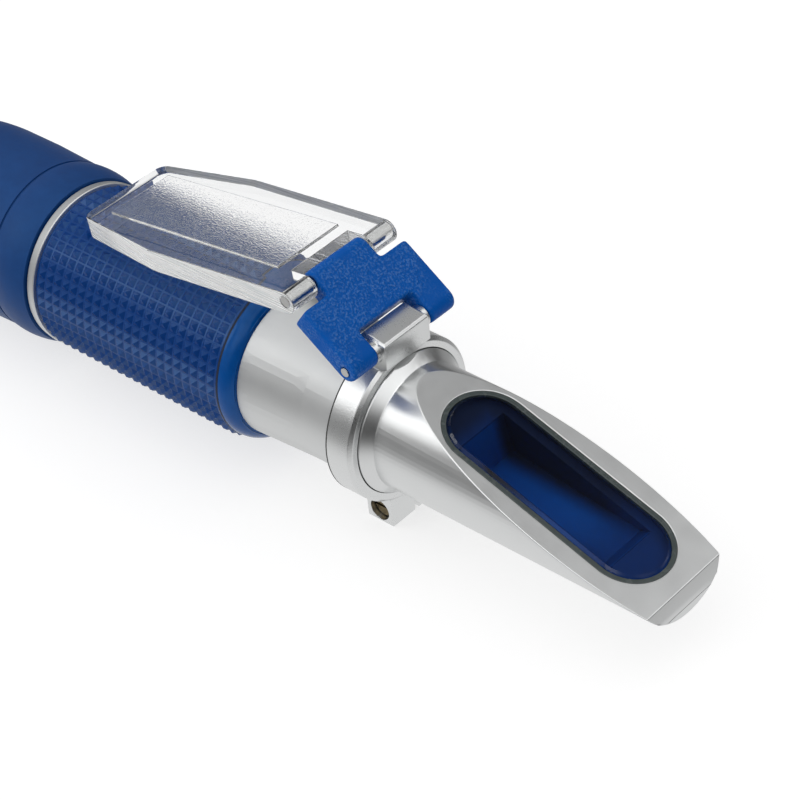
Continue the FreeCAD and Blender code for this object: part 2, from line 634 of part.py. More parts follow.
def plate_plan():
    """Plan of the daylight plate: parallel flanks, then flanks that close in on a tip with round corners."""
    tip = PLATE_TIP_HALF_WIDTH
    corner = PLATE_TIP_CORNER
    corner_mid = corner * (1 - math.sqrt(0.5))
    length = PLATE_LENGTH
    flank = (PLATE_BEND_HALF_WIDTH - tip) / (length - PLATE_BEND) * corner
    return [
        (PLATE_NOSE_REACH, -PLATE_HINGE_HALF_WIDTH),
        (-PLATE_BEND, -PLATE_BEND_HALF_WIDTH),
        (corner - length, -tip - flank),
        (corner_mid - length, -tip + corner_mid, -length, corner - tip),
        (-length, tip - corner),
        (corner_mid - length, tip - corner_mid, corner - length, tip + flank),
        (-PLATE_BEND, PLATE_BEND_HALF_WIDTH),
        (PLATE_NOSE_REACH, PLATE_HINGE_HALF_WIDTH),
    ]


def daylight_plate():
    half = (PLATE_TOP + PLATE_UNDERSIDE) / 2
    middle = (PLATE_TOP - PLATE_UNDERSIDE) / 2
    nose = PLATE_NOSE_REACH - half
    side = side_profile([
        (nose, -PLATE_UNDERSIDE),
        (PLATE_NOSE_REACH, middle, nose, PLATE_TOP),
        (-PLATE_LENGTH, PLATE_TOP),
        (-PLATE_LENGTH, -PLATE_UNDERSIDE),
    ], PLATE_BEND_HALF_WIDTH + PAST)
    body = side.common(plan_profile(plate_plan(), -2 * half, 2 * half))
    slot_width = BRACKET_TAB_HALF_WIDTH + PLATE_SLOT_SIDE_GAP
    slot = block(-PLATE_SLOT_DEPTH, 2 * PLATE_NOSE_REACH, slot_width, -2 * half, 2 * half)
    body = body.cut(slot)
    body = round_edges(body, PLATE_ROUND, lambda edge, centre: centre.x < PLATE_TIP_CORNER - PLATE_LENGTH)
    pad = plan_profile([
        (-PAD_START, -PAD_HINGE_HALF_WIDTH),
        (-PAD_END, -PAD_TIP_HALF_WIDTH),
        (-PAD_END, PAD_TIP_HALF_WIDTH),
        (-PAD_START, PAD_HINGE_HALF_WIDTH),
    ], 0, PLATE_TOP + PAD_HEIGHT)
    width = 2 * (PLATE_HINGE_HALF_WIDTH + PAST)
    hole = rod(V(0, -width / 2, 0), Y_AXIS, PLATE_PIN_RADIUS, width)
    return hinged(body.fuse(pad).cut(hole), PLATE_PIN, PLATE_TILT)


def plate_pin():
    start = PLATE_PIN - Y_AXIS * PLATE_HINGE_HALF_WIDTH
    return rod(start, Y_AXIS, PLATE_PIN_RADIUS, 2 * PLATE_HINGE_HALF_WIDTH)


def prism_cavity():
    start = FLANGE_FRONT + PRISM_START - PRISM_SIDE_GAP
    end = FLANGE_FRONT + PRISM_START + PRISM_LENGTH + PRISM_SIDE_GAP
    floor = -PRISM_FLOOR - BACKING_THICKNESS
    deep = SEAL_DEPTH / math.cos(math.radians(FACE_ANGLE)) - CAVITY_LAP
    return side_profile([
        (start, floor),
        (end, floor),
        (end, face_height(end) - deep),
        (start, face_height(start) - deep),
    ], PRISM_HALF_WIDTH + PRISM_SIDE_GAP)


def prism_housing():
    body = turned([
        (STEM_REAR, 0),
        (STEM_REAR, STEM_RADIUS),
        (FLANGE_REAR, STEM_RADIUS),
        (FLANGE_REAR, FLANGE_RADIUS),
        (FLANGE_FRONT, FLANGE_RADIUS),
        (FLANGE_FRONT + SHOULDER_LENGTH, HOUSING_RADIUS),
        (HOUSING_FRONT - TIP_CHAMFER, HOUSING_RADIUS),
        (HOUSING_FRONT, HOUSING_RADIUS - TIP_CHAMFER),
        (HOUSING_FRONT, 0),
    ])
    body = body.cut(on_face(block(-HOUSING_LENGTH, HOUSING_LENGTH, 2 * HOUSING_RADIUS, 0, HOUSING_LENGTH)))
    lip = face_height(HOUSING_FRONT)
    back = HOUSING_FRONT - TIP_BEVEL_DEPTH
    bevel = side_profile([
        (back, face_height(back)),
        (HOUSING_FRONT, lip - TIP_BEVEL_HEIGHT),
        (HOUSING_FRONT + PAST, lip - TIP_BEVEL_HEIGHT),
        (HOUSING_FRONT + PAST, lip + PAST),
        (back, lip + PAST),
    ], 2 * HOUSING_RADIUS)
    body = body.cut(bevel)
    channel_start = V(STEM_REAR - PAST, 0, 0)
    channel_length = FLANGE_FRONT + PRISM_START - STEM_REAR + PAST
    cuts = [
        on_face(stadium(SEAL_HALF_STRAIGHT, SEAL_RADIUS, -SEAL_DEPTH, PAST)),
        prism_cavity(),
        rod(channel_start, X_AXIS, STEM_BORE_RADIUS, STEM_BORE_LENGTH + PAST),
        rod(channel_start - Z_AXIS * CHANNEL_DROP, X_AXIS, CHANNEL_RADIUS, channel_length),
    ]
    for way in set_screw_directions():
        bite = V(SET_SCREW_X, 0, 0) + way * (STEM_RADIUS - SET_SCREW_BITE)
        cuts.append(rod(bite, way, SET_SCREW_RADIUS, SET_SCREW_BITE + PAST))
    return body.cut(cuts)


def prism():
    plate = stadium(GLASS_HALF_STRAIGHT, GLASS_RADIUS, -SEAL_DEPTH, GLASS_PROUD)
    rim = [edge for edge in plate.Edges if edge.BoundBox.ZMin > GLASS_PROUD - 0.01]
    plate = on_face(plate.makeChamfer(GLASS_BEVEL, rim))
    start = FLANGE_FRONT + PRISM_START
    end = start + PRISM_LENGTH
    body = side_profile([
        (start, -PRISM_FLOOR),
        (start + PRISM_FLOOR_LENGTH, -PRISM_FLOOR),
        (end, face_height(end) - SEAL_DEPTH),
        (end, face_height(end) - SEAL_DEPTH / 2),
        (start, face_height(start) - SEAL_DEPTH / 2),
    ], PRISM_HALF_WIDTH)
    return plate.fuse(body).removeSplitter()


def prism_seal():
    outer = stadium(SEAL_HALF_STRAIGHT, SEAL_RADIUS, -SEAL_DEPTH, -SEAL_RECESS)
    inner = stadium(GLASS_HALF_STRAIGHT, GLASS_RADIUS, -SEAL_DEPTH - PAST, PAST)
    return on_face(outer.cut(inner))


def prism_backing():
    start = FLANGE_FRONT + PRISM_START
    end = start + PRISM_FLOOR_LENGTH
    return block(start, end, PRISM_HALF_WIDTH, -PRISM_FLOOR - BACKING_THICKNESS, -PRISM_FLOOR)


def barrel_seal():
    return ring(BARREL_FRONT, FLANGE_REAR, LAND_RADIUS - SEAT_FIT, STEM_RADIUS + SEAT_FIT)


def housing_screws():
    screws = []
    for way in set_screw_directions():
        start = V(SET_SCREW_X, 0, 0) + way * (STEM_RADIUS - SET_SCREW_BITE)
        length = LAND_RADIUS - SET_SCREW_RECESS - STEM_RADIUS + SET_SCREW_BITE
        screw = rod(start, way, SET_SCREW_RADIUS, length)
        socket = rod(start + way * (length - HEX_DEPTH), way, HEX_SOCKET, HEX_DEPTH + PAST)
        screws.append(screw.cut(socket))
    return Part.makeCompound(screws)


def rivet_stations():
    return [-CALIBRATION_SETBACK + position for position in RIVET_POSITIONS]


def objective_cell():
    ring_body = turned([
        (OBJECTIVE_REAR, OBJECTIVE_APERTURE),
        (OBJECTIVE_REAR, OBJECTIVE_RADIUS),
        (OBJECTIVE_FRONT, OBJECTIVE_RADIUS),
        (OBJECTIVE_FRONT, OBJECTIVE_LENS_RADIUS + SEAT_FIT),
        (OBJECTIVE_REAR + OBJECTIVE_SEAT_INSET, OBJECTIVE_LENS_RADIUS + SEAT_FIT),
        (OBJECTIVE_REAR + OBJECTIVE_SEAT_INSET, OBJECTIVE_APERTURE),
    ])
    bore = rod(V(OBJECTIVE_REAR, 0, 0), X_AXIS, OBJECTIVE_LENS_RADIUS + SEAT_FIT, OBJECTIVE_LENGTH)
    saddle = block(OBJECTIVE_REAR, OBJECTIVE_FRONT, NUT_BLOCK_HALF_WIDTH, 0, STRIP_HEIGHT).cut(bore)
    nut_rear = OBJECTIVE_REAR - NUT_BLOCK_LENGTH
    nut = block(nut_rear, OBJECTIVE_REAR, NUT_BLOCK_HALF_WIDTH, NUT_BLOCK_FLOOR, STRIP_HEIGHT)
    body = ring_body.fuse([saddle, nut])
    cuts = [rod(V(-CALIBRATION_SETBACK, 0, 0), Z_AXIS, CALIBRATION_RADIUS + FACE_GAP, BORE_RADIUS)]
    for x in rivet_stations():
        start = V(x, 0, STRIP_HEIGHT - RIVET_BITE)
        cuts.append(rod(start, Z_AXIS, RIVET_RADIUS, RIVET_BITE + PAST))
    return body.cut(cuts)


def lens_height(radius, thickness, edge, at):
    """Thickness of a plano-convex lens at a distance from its axis."""
    bulge = thickness - edge
    sphere = (radius ** 2 + bulge ** 2) / (2 * bulge)
    return thickness - sphere + math.sqrt(sphere ** 2 - at ** 2)


def lens(flat, front, radius, thickness, edge):
    """Plano-convex lens with its flat side at one station; the bulge points to the front or the rear."""
    way = 1 if front else -1
    half = radius / 2
    half_x = flat + way * lens_height(radius, thickness, edge, half)
    return turned([
        (flat, 0),
        (flat, radius),
        (flat + way * edge, radius),
        (half_x, half, flat + way * thickness, 0),
    ])


def objective_lens():
    flat = OBJECTIVE_REAR + OBJECTIVE_SEAT_INSET
    return lens(flat, True, OBJECTIVE_LENS_RADIUS, OBJECTIVE_LENS_THICKNESS, OBJECTIVE_LENS_EDGE)


def objective_ring():
    flat = OBJECTIVE_REAR + OBJECTIVE_SEAT_INSET
    height = lens_height(OBJECTIVE_LENS_RADIUS, OBJECTIVE_LENS_THICKNESS, OBJECTIVE_LENS_EDGE,
                         OBJECTIVE_APERTURE)
    rear = flat + height + FACE_GAP
    return ring(rear, rear + OBJECTIVE_RING_THICKNESS, OBJECTIVE_LENS_RADIUS, OBJECTIVE_APERTURE)


def anchor_screw_stations():
    return (STRIP_PIVOT_X - ANCHOR_SCREW_OFFSET, STRIP_PIVOT_X + ANCHOR_SCREW_OFFSET)


def bimetal_strip():
    rear = STRIP_PIVOT_X - STRIP_ROOT_HALF_LENGTH
    front = -CALIBRATION_SETBACK + STRIP_FRONT
    strip = block(rear, front, STRIP_WIDTH / 2, STRIP_HEIGHT, STRIP_HEIGHT + STRIP_THICKNESS)
    cuts = [rod(V(-CALIBRATION_SETBACK, 0, 0), Z_AXIS, CALIBRATION_RADIUS + THROUGH_GAP, BORE_RADIUS)]
    for x in rivet_stations():
        cuts.append(rod(V(x, 0, 0), Z_AXIS, RIVET_RADIUS, BORE_RADIUS))
    for x in anchor_screw_stations():
        cuts.append(rod(V(x, 0, 0), Z_AXIS, ANCHOR_SCREW_RADIUS + THROUGH_GAP, BORE_RADIUS))
    return strip.cut(cuts)


def strip_rivets():
    rivets = []
    top = STRIP_HEIGHT + STRIP_THICKNESS
    for x in rivet_stations():
        shank = rod(V(x, 0, STRIP_HEIGHT - RIVET_BITE), Z_AXIS, RIVET_RADIUS, RIVET_BITE + STRIP_THICKNESS)
        head = rod(V(x, 0, top), Z_AXIS, RIVET_HEAD_RADIUS, RIVET_HEAD_HEIGHT)
        rivets.append(shank.fuse(head))
    return Part.makeCompound(rivets)


def strip_anchor():
    rear = STRIP_PIVOT_X - STRIP_ROOT_HALF_LENGTH
    front = STRIP_PIVOT_X + STRIP_ROOT_HALF_LENGTH
    low = STRIP_HEIGHT + STRIP_THICKNESS + FACE_GAP
    body = block(rear, front, ANCHOR_HALF_WIDTH, low, BORE_RADIUS + PAST)
    body = body.common(rod(V(rear, 0, 0), X_AXIS, BORE_RADIUS - SEAT_FIT, front - rear))
    holes = [rod(V(x, 0, 0), Z_AXIS, ANCHOR_SCREW_RADIUS, GRIP_SEAT_RADIUS) for x in anchor_screw_stations()]
    return body.cut(holes)


def strip_clamp():
    rear = STRIP_PIVOT_X - STRIP_ROOT_HALF_LENGTH
    front = STRIP_PIVOT_X + STRIP_ROOT_HALF_LENGTH
    high = STRIP_HEIGHT - FACE_GAP
    body = block(rear, front, ANCHOR_HALF_WIDTH, high - CLAMP_PLATE_THICKNESS, high)
    holes = [rod(V(x, 0, 0), Z_AXIS, ANCHOR_SCREW_RADIUS, GRIP_SEAT_RADIUS) for x in anchor_screw_stations()]
    return body.cut(holes)


def anchor_screws():
    screws = []
    seat = GRIP_SEAT_RADIUS - ANCHOR_HEAD_HEIGHT
    tip = STRIP_HEIGHT - FACE_GAP - CLAMP_PLATE_THICKNESS
    head_height = ANCHOR_HEAD_HEIGHT - THROUGH_GAP
    for x in anchor_screw_stations():
        shank = rod(V(x, 0, tip), Z_AXIS, ANCHOR_SCREW_RADIUS, seat - tip)
        head = rod(V(x, 0, seat), Z_AXIS, ANCHOR_HEAD_RADIUS, head_height)
        head = slotted(head, V(x, 0, seat + head_height), Z_AXIS, Y_AXIS, ANCHOR_HEAD_RADIUS + PAST)
        screws.append(shank.fuse(head))
    return Part.makeCompound(screws)


def calibration_screw():
    place = V(-CALIBRATION_SETBACK, 0, 0)
    shank = rod(place + Z_AXIS * CALIBRATION_TIP_HEIGHT, Z_AXIS, CALIBRATION_RADIUS,
                CALIBRATION_SEAT - CALIBRATION_TIP_HEIGHT + FACE_GAP)
    seat = place + Z_AXIS * (CALIBRATION_SEAT + FACE_GAP)
    head_height = CALIBRATION_HEAD_HEIGHT - FACE_GAP
    head = rod(seat, Z_AXIS, CALIBRATION_HEAD_RADIUS, head_height)
    head = slotted(head, place + Z_AXIS * CALIBRATION_TOP, Z_AXIS, Y_AXIS, CALIBRATION_HEAD_RADIUS + PAST)
    return shank.fuse(head)


def calibration_clip():
    start = V(-CALIBRATION_SETBACK, 0, CALIBRATION_CLIP_TOP - CALIBRATION_CLIP_THICKNESS)
    disc = rod(start, Z_AXIS, CALIBRATION_CLIP_RADIUS, CALIBRATION_CLIP_THICKNESS)
    return disc.cut(rod(start, Z_AXIS, CALIBRATION_RADIUS, CALIBRATION_CLIP_THICKNESS))


def reticle_holder():
    rear = RETICLE_FRONT - RETICLE_HOLDER_LENGTH
    front = RETICLE_FRONT + RETICLE_LIP
    return turned([
        (rear, RETICLE_RADIUS + SEAT_FIT),
        (rear, BORE_RADIUS - SEAT_FIT),
        (front, BORE_RADIUS - SEAT_FIT),
        (front, RETICLE_APERTURE),
        (RETICLE_FRONT, RETICLE_APERTURE),
        (RETICLE_FRONT, RETICLE_RADIUS + SEAT_FIT),
    ])


def field_stop():
    rear = RETICLE_FRONT - FIELD_STOP_THICKNESS
    return ring(rear, RETICLE_FRONT, RETICLE_RADIUS, FIELD_STOP_APERTURE)


def scale_reticle():
    front = RETICLE_FRONT - FIELD_STOP_THICKNESS
    return rod(V(front - RETICLE_THICKNESS, 0, 0), X_AXIS, RETICLE_RADIUS, RETICLE_THICKNESS)


def reticle_ring():
    front = RETICLE_FRONT - FIELD_STOP_THICKNESS - RETICLE_THICKNESS
    return ring(front - RETICLE_RING_THICKNESS, front, RETICLE_RADIUS, RETICLE_APERTURE)


def focus_circlip():
    rear = CIRCLIP_FRONT - CIRCLIP_THICKNESS + FACE_GAP
    inner = JOURNAL_RADIUS - CIRCLIP_GROOVE_DEPTH
    clip = ring(rear, CIRCLIP_FRONT, CIRCLIP_RADIUS, inner)
    half_gap = CIRCLIP_RADIUS * math.sin(math.radians(CIRCLIP_GAP_ANGLE) / 2)
    return clip.cut(block(rear - PAST, CIRCLIP_FRONT + PAST, half_gap, 0, CIRCLIP_RADIUS + PAST))


def focus_sleeve():
    return turned([
        (FOCUS_REAR, FOCUS_SEAT_RADIUS),
        (FOCUS_REAR, FOCUS_SLEEVE_RADIUS),
        (FOCUS_FRONT, FOCUS_SLEEVE_RADIUS),
        (FOCUS_FRONT, JOURNAL_RADIUS + RUN_FIT),
        (FOCUS_SHOULDER, JOURNAL_RADIUS + RUN_FIT),
        (FOCUS_SHOULDER, FOCUS_SEAT_RADIUS),
    ])


def focus_nut():
    return ring(NUT_REAR, NUT_FRONT, FOCUS_SEAT_RADIUS - SEAT_FIT, CELL_THREAD_RADIUS + RUN_FIT)


def eyecup():
    crease = EYECUP_CREASE_RADIUS
    band_mid = (FOCUS_FRONT + EYECUP_BAND_REAR) / 2
    inner_web = EYECUP_WEB_RADIUS
    web_rear = FOCUS_REAR - EYECUP_WEB_THICKNESS
    lip_mid_x = EYECUP_GRIP_REAR - EYECUP_LIP_LENGTH / 2
    lip_mid_r = (EYECUP_RADIUS + EYECUP_LIP_RADIUS) / 2 + EYECUP_LIP_SAG
    lip = EYECUP_LIP_THICKNESS
    return turned([
        (FOCUS_FRONT, FOCUS_SLEEVE_RADIUS + SEAT_FIT),
        (FOCUS_REAR, FOCUS_SLEEVE_RADIUS + SEAT_FIT),
        (FOCUS_REAR, inner_web),
        (web_rear, inner_web),
        (EYECUP_REAR, EYECUP_LIP_RADIUS - lip),
        (EYECUP_REAR - lip / 2, EYECUP_LIP_RADIUS - lip / 2, EYECUP_REAR, EYECUP_LIP_RADIUS),
        (lip_mid_x, lip_mid_r, EYECUP_GRIP_REAR, EYECUP_RADIUS),
        (EYECUP_FLARE_REAR, EYECUP_RADIUS),
        (EYECUP_CREASE_REAR, crease),
        (EYECUP_BAND_REAR - EYECUP_CREASE_WIDTH / 2, crease - EYECUP_CREASE_DEPTH, EYECUP_BAND_REAR, crease),
        (band_mid, EYECUP_BAND_RADIUS, FOCUS_FRONT, EYECUP_FRONT_RADIUS),
    ])


def key_seat():
    """Radius on which the head of the guide screw sits."""
    return JOURNAL_RADIUS - KEY_HEAD_RECESS - KEY_HEAD_HEIGHT


def ocular_cell():
    front_radius = BORE_RADIUS - RUN_FIT
    eye_height = lens_height(EYE_LENS_RADIUS, EYE_LENS_THICKNESS, EYE_LENS_EDGE, CELL_BORE_RADIUS)
    eye_seat = CELL_REAR + EYE_LENS_RING_THICKNESS + eye_height + FACE_GAP
    field_height = lens_height(FIELD_LENS_RADIUS, FIELD_LENS_THICKNESS, FIELD_LENS_EDGE, CELL_BORE_RADIUS)
    field_seat = CELL_FRONT - FIELD_LENS_RING_THICKNESS - field_height - FACE_GAP
    body = turned([
        (CELL_REAR, EYE_LENS_RADIUS + SEAT_FIT),
        (CELL_REAR, CELL_THREAD_RADIUS),
        (CELL_FLANGE_FRONT, CELL_THREAD_RADIUS),
        (CELL_FLANGE_FRONT, front_radius),
        (CELL_FRONT, front_radius),
        (CELL_FRONT, FIELD_LENS_RADIUS + SEAT_FIT),
        (field_seat, FIELD_LENS_RADIUS + SEAT_FIT),
        (field_seat, CELL_BORE_RADIUS),
        (eye_seat, CELL_BORE_RADIUS),
        (eye_seat, EYE_LENS_RADIUS + SEAT_FIT),
    ])
    half = KEY_RADIUS + FACE_GAP
    reach = FOCUS_TRAVEL + KEY_RADIUS + THROUGH_GAP
    floor = KEY_DEPTH - front_radius
    keyway = block(KEY_STATION - reach, KEY_STATION + reach, half, -front_radius - PAST, floor)
    return body.cut(keyway)


def eye_lens():
    return lens(CELL_REAR + EYE_LENS_RING_THICKNESS, True, EYE_LENS_RADIUS, EYE_LENS_THICKNESS, EYE_LENS_EDGE)


def eye_lens_ring():
    return ring(CELL_REAR, CELL_REAR + EYE_LENS_RING_THICKNESS, EYE_LENS_RADIUS, EYE_LENS_RING_APERTURE)


def field_lens():
    flat = CELL_FRONT - FIELD_LENS_RING_THICKNESS
    return lens(flat, False, FIELD_LENS_RADIUS, FIELD_LENS_THICKNESS, FIELD_LENS_EDGE)


def field_lens_ring():
    rear = CELL_FRONT - FIELD_LENS_RING_THICKNESS
    return ring(rear, CELL_FRONT, FIELD_LENS_RADIUS, FIELD_LENS_RING_APERTURE)


def guide_screw():
    tip = BORE_RADIUS - RUN_FIT - KEY_DEPTH + KEY_TIP_GAP
    start = V(KEY_STATION, 0, -tip)
    shank = rod(start, -Z_AXIS, KEY_RADIUS, key_seat() - tip)
    head_start = V(KEY_STATION, 0, -key_seat())
    head = rod(head_start, -Z_AXIS, KEY_HEAD_RADIUS, KEY_HEAD_HEIGHT)
    head = slotted(head, head_start - Z_AXIS * KEY_HEAD_HEIGHT, -Z_AXIS, Y_AXIS, KEY_HEAD_RADIUS + PAST)
    return shank.fuse(head)


MAKERS = (
    barrel_tube,
    front_grip_ring,
    grip_sleeve,
    rear_grip_ring,
    hinge_collar,
    collar_screw,
    hinge_bracket,
    bracket_pin,
    daylight_plate,
    plate_pin,
    prism_housing,
    prism,
    prism_seal,
    prism_backing,
    barrel_seal,
    housing_screws,
    objective_cell,
    objective_lens,
    objective_ring,
    bimetal_strip,
    strip_rivets,
    strip_anchor,
    strip_clamp,
    anchor_screws,
    calibration_screw,
    calibration_clip,
    reticle_holder,
    field_stop,
    scale_reticle,
    reticle_ring,
    focus_circlip,
    focus_sleeve,
    focus_nut,
    eyecup,
    ocular_cell,
    eye_lens,
    eye_lens_ring,
    field_lens,
    field_lens_ring,
    guide_screw,
)

for maker in MAKERS:
    solid = maker()
    name = maker.__name__
    box = solid.BoundBox
    print(f"{name}: solids {len(solid.Solids)}, volume {solid.Volume:.2f}, valid {solid.isValid()}, "
          f"x {box.XMin:.2f} to {box.XMax:.2f}, z {box.ZMin:.2f} to {box.ZMax:.2f}")
    solid.exportStep(f"parts/{name}.step")
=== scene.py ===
import json
import math

import bmesh
import bpy
import numpy as np
from mathutils import Matrix, Vector

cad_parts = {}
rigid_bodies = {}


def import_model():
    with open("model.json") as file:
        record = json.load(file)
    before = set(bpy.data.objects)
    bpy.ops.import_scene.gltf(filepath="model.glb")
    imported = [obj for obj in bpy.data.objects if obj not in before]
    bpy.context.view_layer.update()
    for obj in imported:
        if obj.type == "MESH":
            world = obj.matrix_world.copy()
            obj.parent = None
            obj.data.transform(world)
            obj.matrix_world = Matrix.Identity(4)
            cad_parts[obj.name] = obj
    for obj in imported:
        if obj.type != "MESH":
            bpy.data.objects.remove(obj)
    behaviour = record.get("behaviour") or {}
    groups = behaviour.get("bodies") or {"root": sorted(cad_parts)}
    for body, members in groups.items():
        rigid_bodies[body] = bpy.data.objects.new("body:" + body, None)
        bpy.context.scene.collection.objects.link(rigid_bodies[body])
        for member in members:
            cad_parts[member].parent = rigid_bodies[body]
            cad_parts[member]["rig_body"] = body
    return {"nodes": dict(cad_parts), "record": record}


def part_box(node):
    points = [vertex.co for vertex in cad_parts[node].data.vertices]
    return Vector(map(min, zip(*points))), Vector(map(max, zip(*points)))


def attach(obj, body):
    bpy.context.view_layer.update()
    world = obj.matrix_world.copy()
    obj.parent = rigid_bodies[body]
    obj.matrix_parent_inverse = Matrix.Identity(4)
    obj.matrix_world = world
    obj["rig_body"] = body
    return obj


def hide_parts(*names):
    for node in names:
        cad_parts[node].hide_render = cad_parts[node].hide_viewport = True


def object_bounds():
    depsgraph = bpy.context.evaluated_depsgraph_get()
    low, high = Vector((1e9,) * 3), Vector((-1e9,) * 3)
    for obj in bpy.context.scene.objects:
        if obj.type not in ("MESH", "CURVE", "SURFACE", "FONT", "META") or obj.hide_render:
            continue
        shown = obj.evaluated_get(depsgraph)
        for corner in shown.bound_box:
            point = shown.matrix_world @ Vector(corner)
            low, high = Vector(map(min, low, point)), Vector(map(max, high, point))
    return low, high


# Handheld refractometer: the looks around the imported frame.
# Metres, with +X along the optical axis to the prism tip, +Z up and Y across, along both hinge pins.

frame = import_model()
nodes = frame["nodes"]
cad_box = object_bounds()

MM = 0.001
SHARP = 11                                  # degrees: facets of round faces meet below this, and real edges above it
MERGE = 1e-7                                # points of a CAD copy closer than this are one point
FACE_ANGLE = math.radians(18.78)            # fall of the slanted face towards the tip
PLATE_TILT = math.radians(-8.05)            # the clear plate at rest, about +Y
FACE_UP = Vector((math.sin(FACE_ANGLE), 0, math.cos(FACE_ANGLE)))
LEDGE_HEIGHT = 12.15 * MM                   # underside of the prism's window plate, measured along FACE_UP
PLATE_UP = Vector((math.sin(PLATE_TILT), 0, math.cos(PLATE_TILT)))


class Signal:
    """A node's output. Adding, subtracting, multiplying, dividing or comparing it puts a Math node into its tree."""

    def __init__(self, finish, socket):
        self.finish = finish
        self.socket = socket

    def maths(self, operation, first, second):
        return self.finish.node("ShaderNodeMath", {"operation": operation}, {0: first, 1: second})

    def __add__(self, other):
        return self.maths("ADD", self, other)

    def __sub__(self, other):
        return self.maths("SUBTRACT", self, other)

    def __rsub__(self, other):
        return self.maths("SUBTRACT", other, self)

    def __mul__(self, other):
        return self.maths("MULTIPLY", self, other)

    def __truediv__(self, other):
        return self.maths("DIVIDE", self, other)

    def __gt__(self, other):
        return self.maths("GREATER_THAN", self, other)

    def __lt__(self, other):
        return self.maths("LESS_THAN", self, other)

    def power(self, other):
        return self.maths("POWER", self, other)

    def smaller(self, other):
        return self.maths("MINIMUM", self, other)

    def larger(self, other):
        return self.maths("MAXIMUM", self, other)

    def ramp(self, start, end):
        """0 at start, 1 at end, straight in between and held outside."""
        return self.finish.node("ShaderNodeMapRange", {}, {"Value": self, "From Min": start, "From Max": end})

    def soft(self, start, end):
        """The same with an eased rise."""
        return self.finish.node("ShaderNodeMapRange", {"interpolation_type": "SMOOTHSTEP"}, {
            "Value": self, "From Min": start, "From Max": end})

    __radd__ = __add__
    __rmul__ = __mul__


class Finish:
    """A node tree under construction, with one method that makes any node."""

    def __init__(self, tree):
        self.tree = tree
        self.tree.nodes.clear()

    def feed(self, socket, value):
        if isinstance(value, Signal):
            self.tree.links.new(value.socket, socket)
        elif isinstance(value, (tuple, list)) and socket.type == "RGBA" and len(value) == 3:
            socket.default_value = (*value, 1)
        else:
            socket.default_value = value

    def node(self, kind, settings, inputs, output=0):
        made = self.tree.nodes.new(kind)
        for key, value in settings.items():
            if key == "stops":
                for position, colour in value[2:]:
                    made.color_ramp.elements.new(position)
                for element, (position, colour) in zip(made.color_ramp.elements, sorted(value)):
                    element.position = position
                    element.color = (*colour, 1) if len(colour) == 3 else colour
            else:
                setattr(made, key, value)
        for key, value in inputs.items():
            self.feed(made.inputs[key], value)
        return Signal(self, made.outputs[output])

    def coordinates(self, scale=(1, 1, 1), turn=(0, 0, 0)):
        """Object coordinates, scaled and turned, so that a pattern keeps its real size on the piece."""
        place = self.node("ShaderNodeTexCoord", {}, {}, "Object")
        return self.node("ShaderNodeMapping", {}, {"Vector": place, "Scale": scale, "Rotation": turn})

    def noise(self, place, scale, detail=2.0, roughness=0.5, output="Fac"):
        return self.node("ShaderNodeTexNoise", {}, {
            "Vector": place, "Scale": scale, "Detail": detail, "Roughness": roughness}, output)

    def mixed(self, factor, first, second):
        """Colour between two colours, by factor."""
        return self.node("ShaderNodeMix", {"data_type": "RGBA"}, {0: factor, 6: first, 7: second}, 2)

    def bump(self, height, strength, distance, below=None):
        inputs = {"Height": height, "Strength": strength, "Distance": distance}
        if below is not None:
            inputs["Normal"] = below
        return self.node("ShaderNodeBump", {}, inputs)

    def surface(self, **inputs):
        """The Principled shader with these sockets, joined to the material's output."""
        names = {key.replace("_", " "): value for key, value in inputs.items()}
        self.output(self.node("ShaderNodeBsdfPrincipled", {}, names, "BSDF"))

    def output(self, shader):
        end = self.tree.nodes.new("ShaderNodeOutputMaterial")
        self.tree.links.new(shader.socket, end.inputs["Surface"])


def new_finish(name):
    material = bpy.data.materials.new(name)
    material.use_nodes = True
    return material, Finish(material.node_tree)


def satin_metal(name, colour, roughness, grain, turned, fineness=9000):
    """Aluminium, blasted and anodised. A turned piece also has fine marks that run round the axis."""
    material, f = new_finish(name)
    fine = f.noise(f.coordinates(), fineness, 3.0, 0.6)
    broad = f.noise(f.coordinates(), 220, 3.0, 0.55)
    marks = f.noise(f.coordinates((5200, 260, 260)), 1.0, 3.0, 0.7)
    share = 0.5 if turned else 0.0
    height = fine * (1 - share) + marks * share
    tone = f.mixed(broad, tuple(c * 0.94 for c in colour), colour)
    f.surface(
        Base_Color=tone,
        Metallic=1.0,
        Roughness=roughness + (fine - 0.5) * 0.10 + (broad - 0.5) * 0.08,
        Normal=f.bump(height, grain, 0.02 * MM),
    )
    return material


BLUE_SHEEN = (0.42, 0.72, 1.0)   # the blue plastics reflect a little blue


def moulded_blue():
    """Blue plastic with a fine moulded grain in patches, whose crests shine through the coat and carry a painted
    highlight in a paler blue, and smooth ground between them.
    """
    material, f = new_finish("blue_moulding")
    grain = f.noise(f.coordinates(), 2700, 2.0, 0.5)
    cloud = f.noise(f.coordinates(), 150, 2.0, 0.5)
    patch = cloud.soft(0.34, 0.52)
    crest = grain.ramp(0.48, 0.66) * patch
    base = f.mixed(cloud, (0.0, 0.080, 0.38), (0.0, 0.102, 0.45))
    f.surface(
        # the paler blue on the grain's crests is a painted highlight
        Base_Color=f.mixed(crest * 0.26, base, (0.06, 0.26, 0.64)),
        Roughness=0.38,
        Specular_IOR_Level=0.05,
        Coat_Weight=crest * 0.60 + 0.08,
        Coat_Roughness=0.20,
        Normal=f.bump(grain * (patch * 0.9 + 0.1), 1.0, 0.30 * MM),
    )
    return material


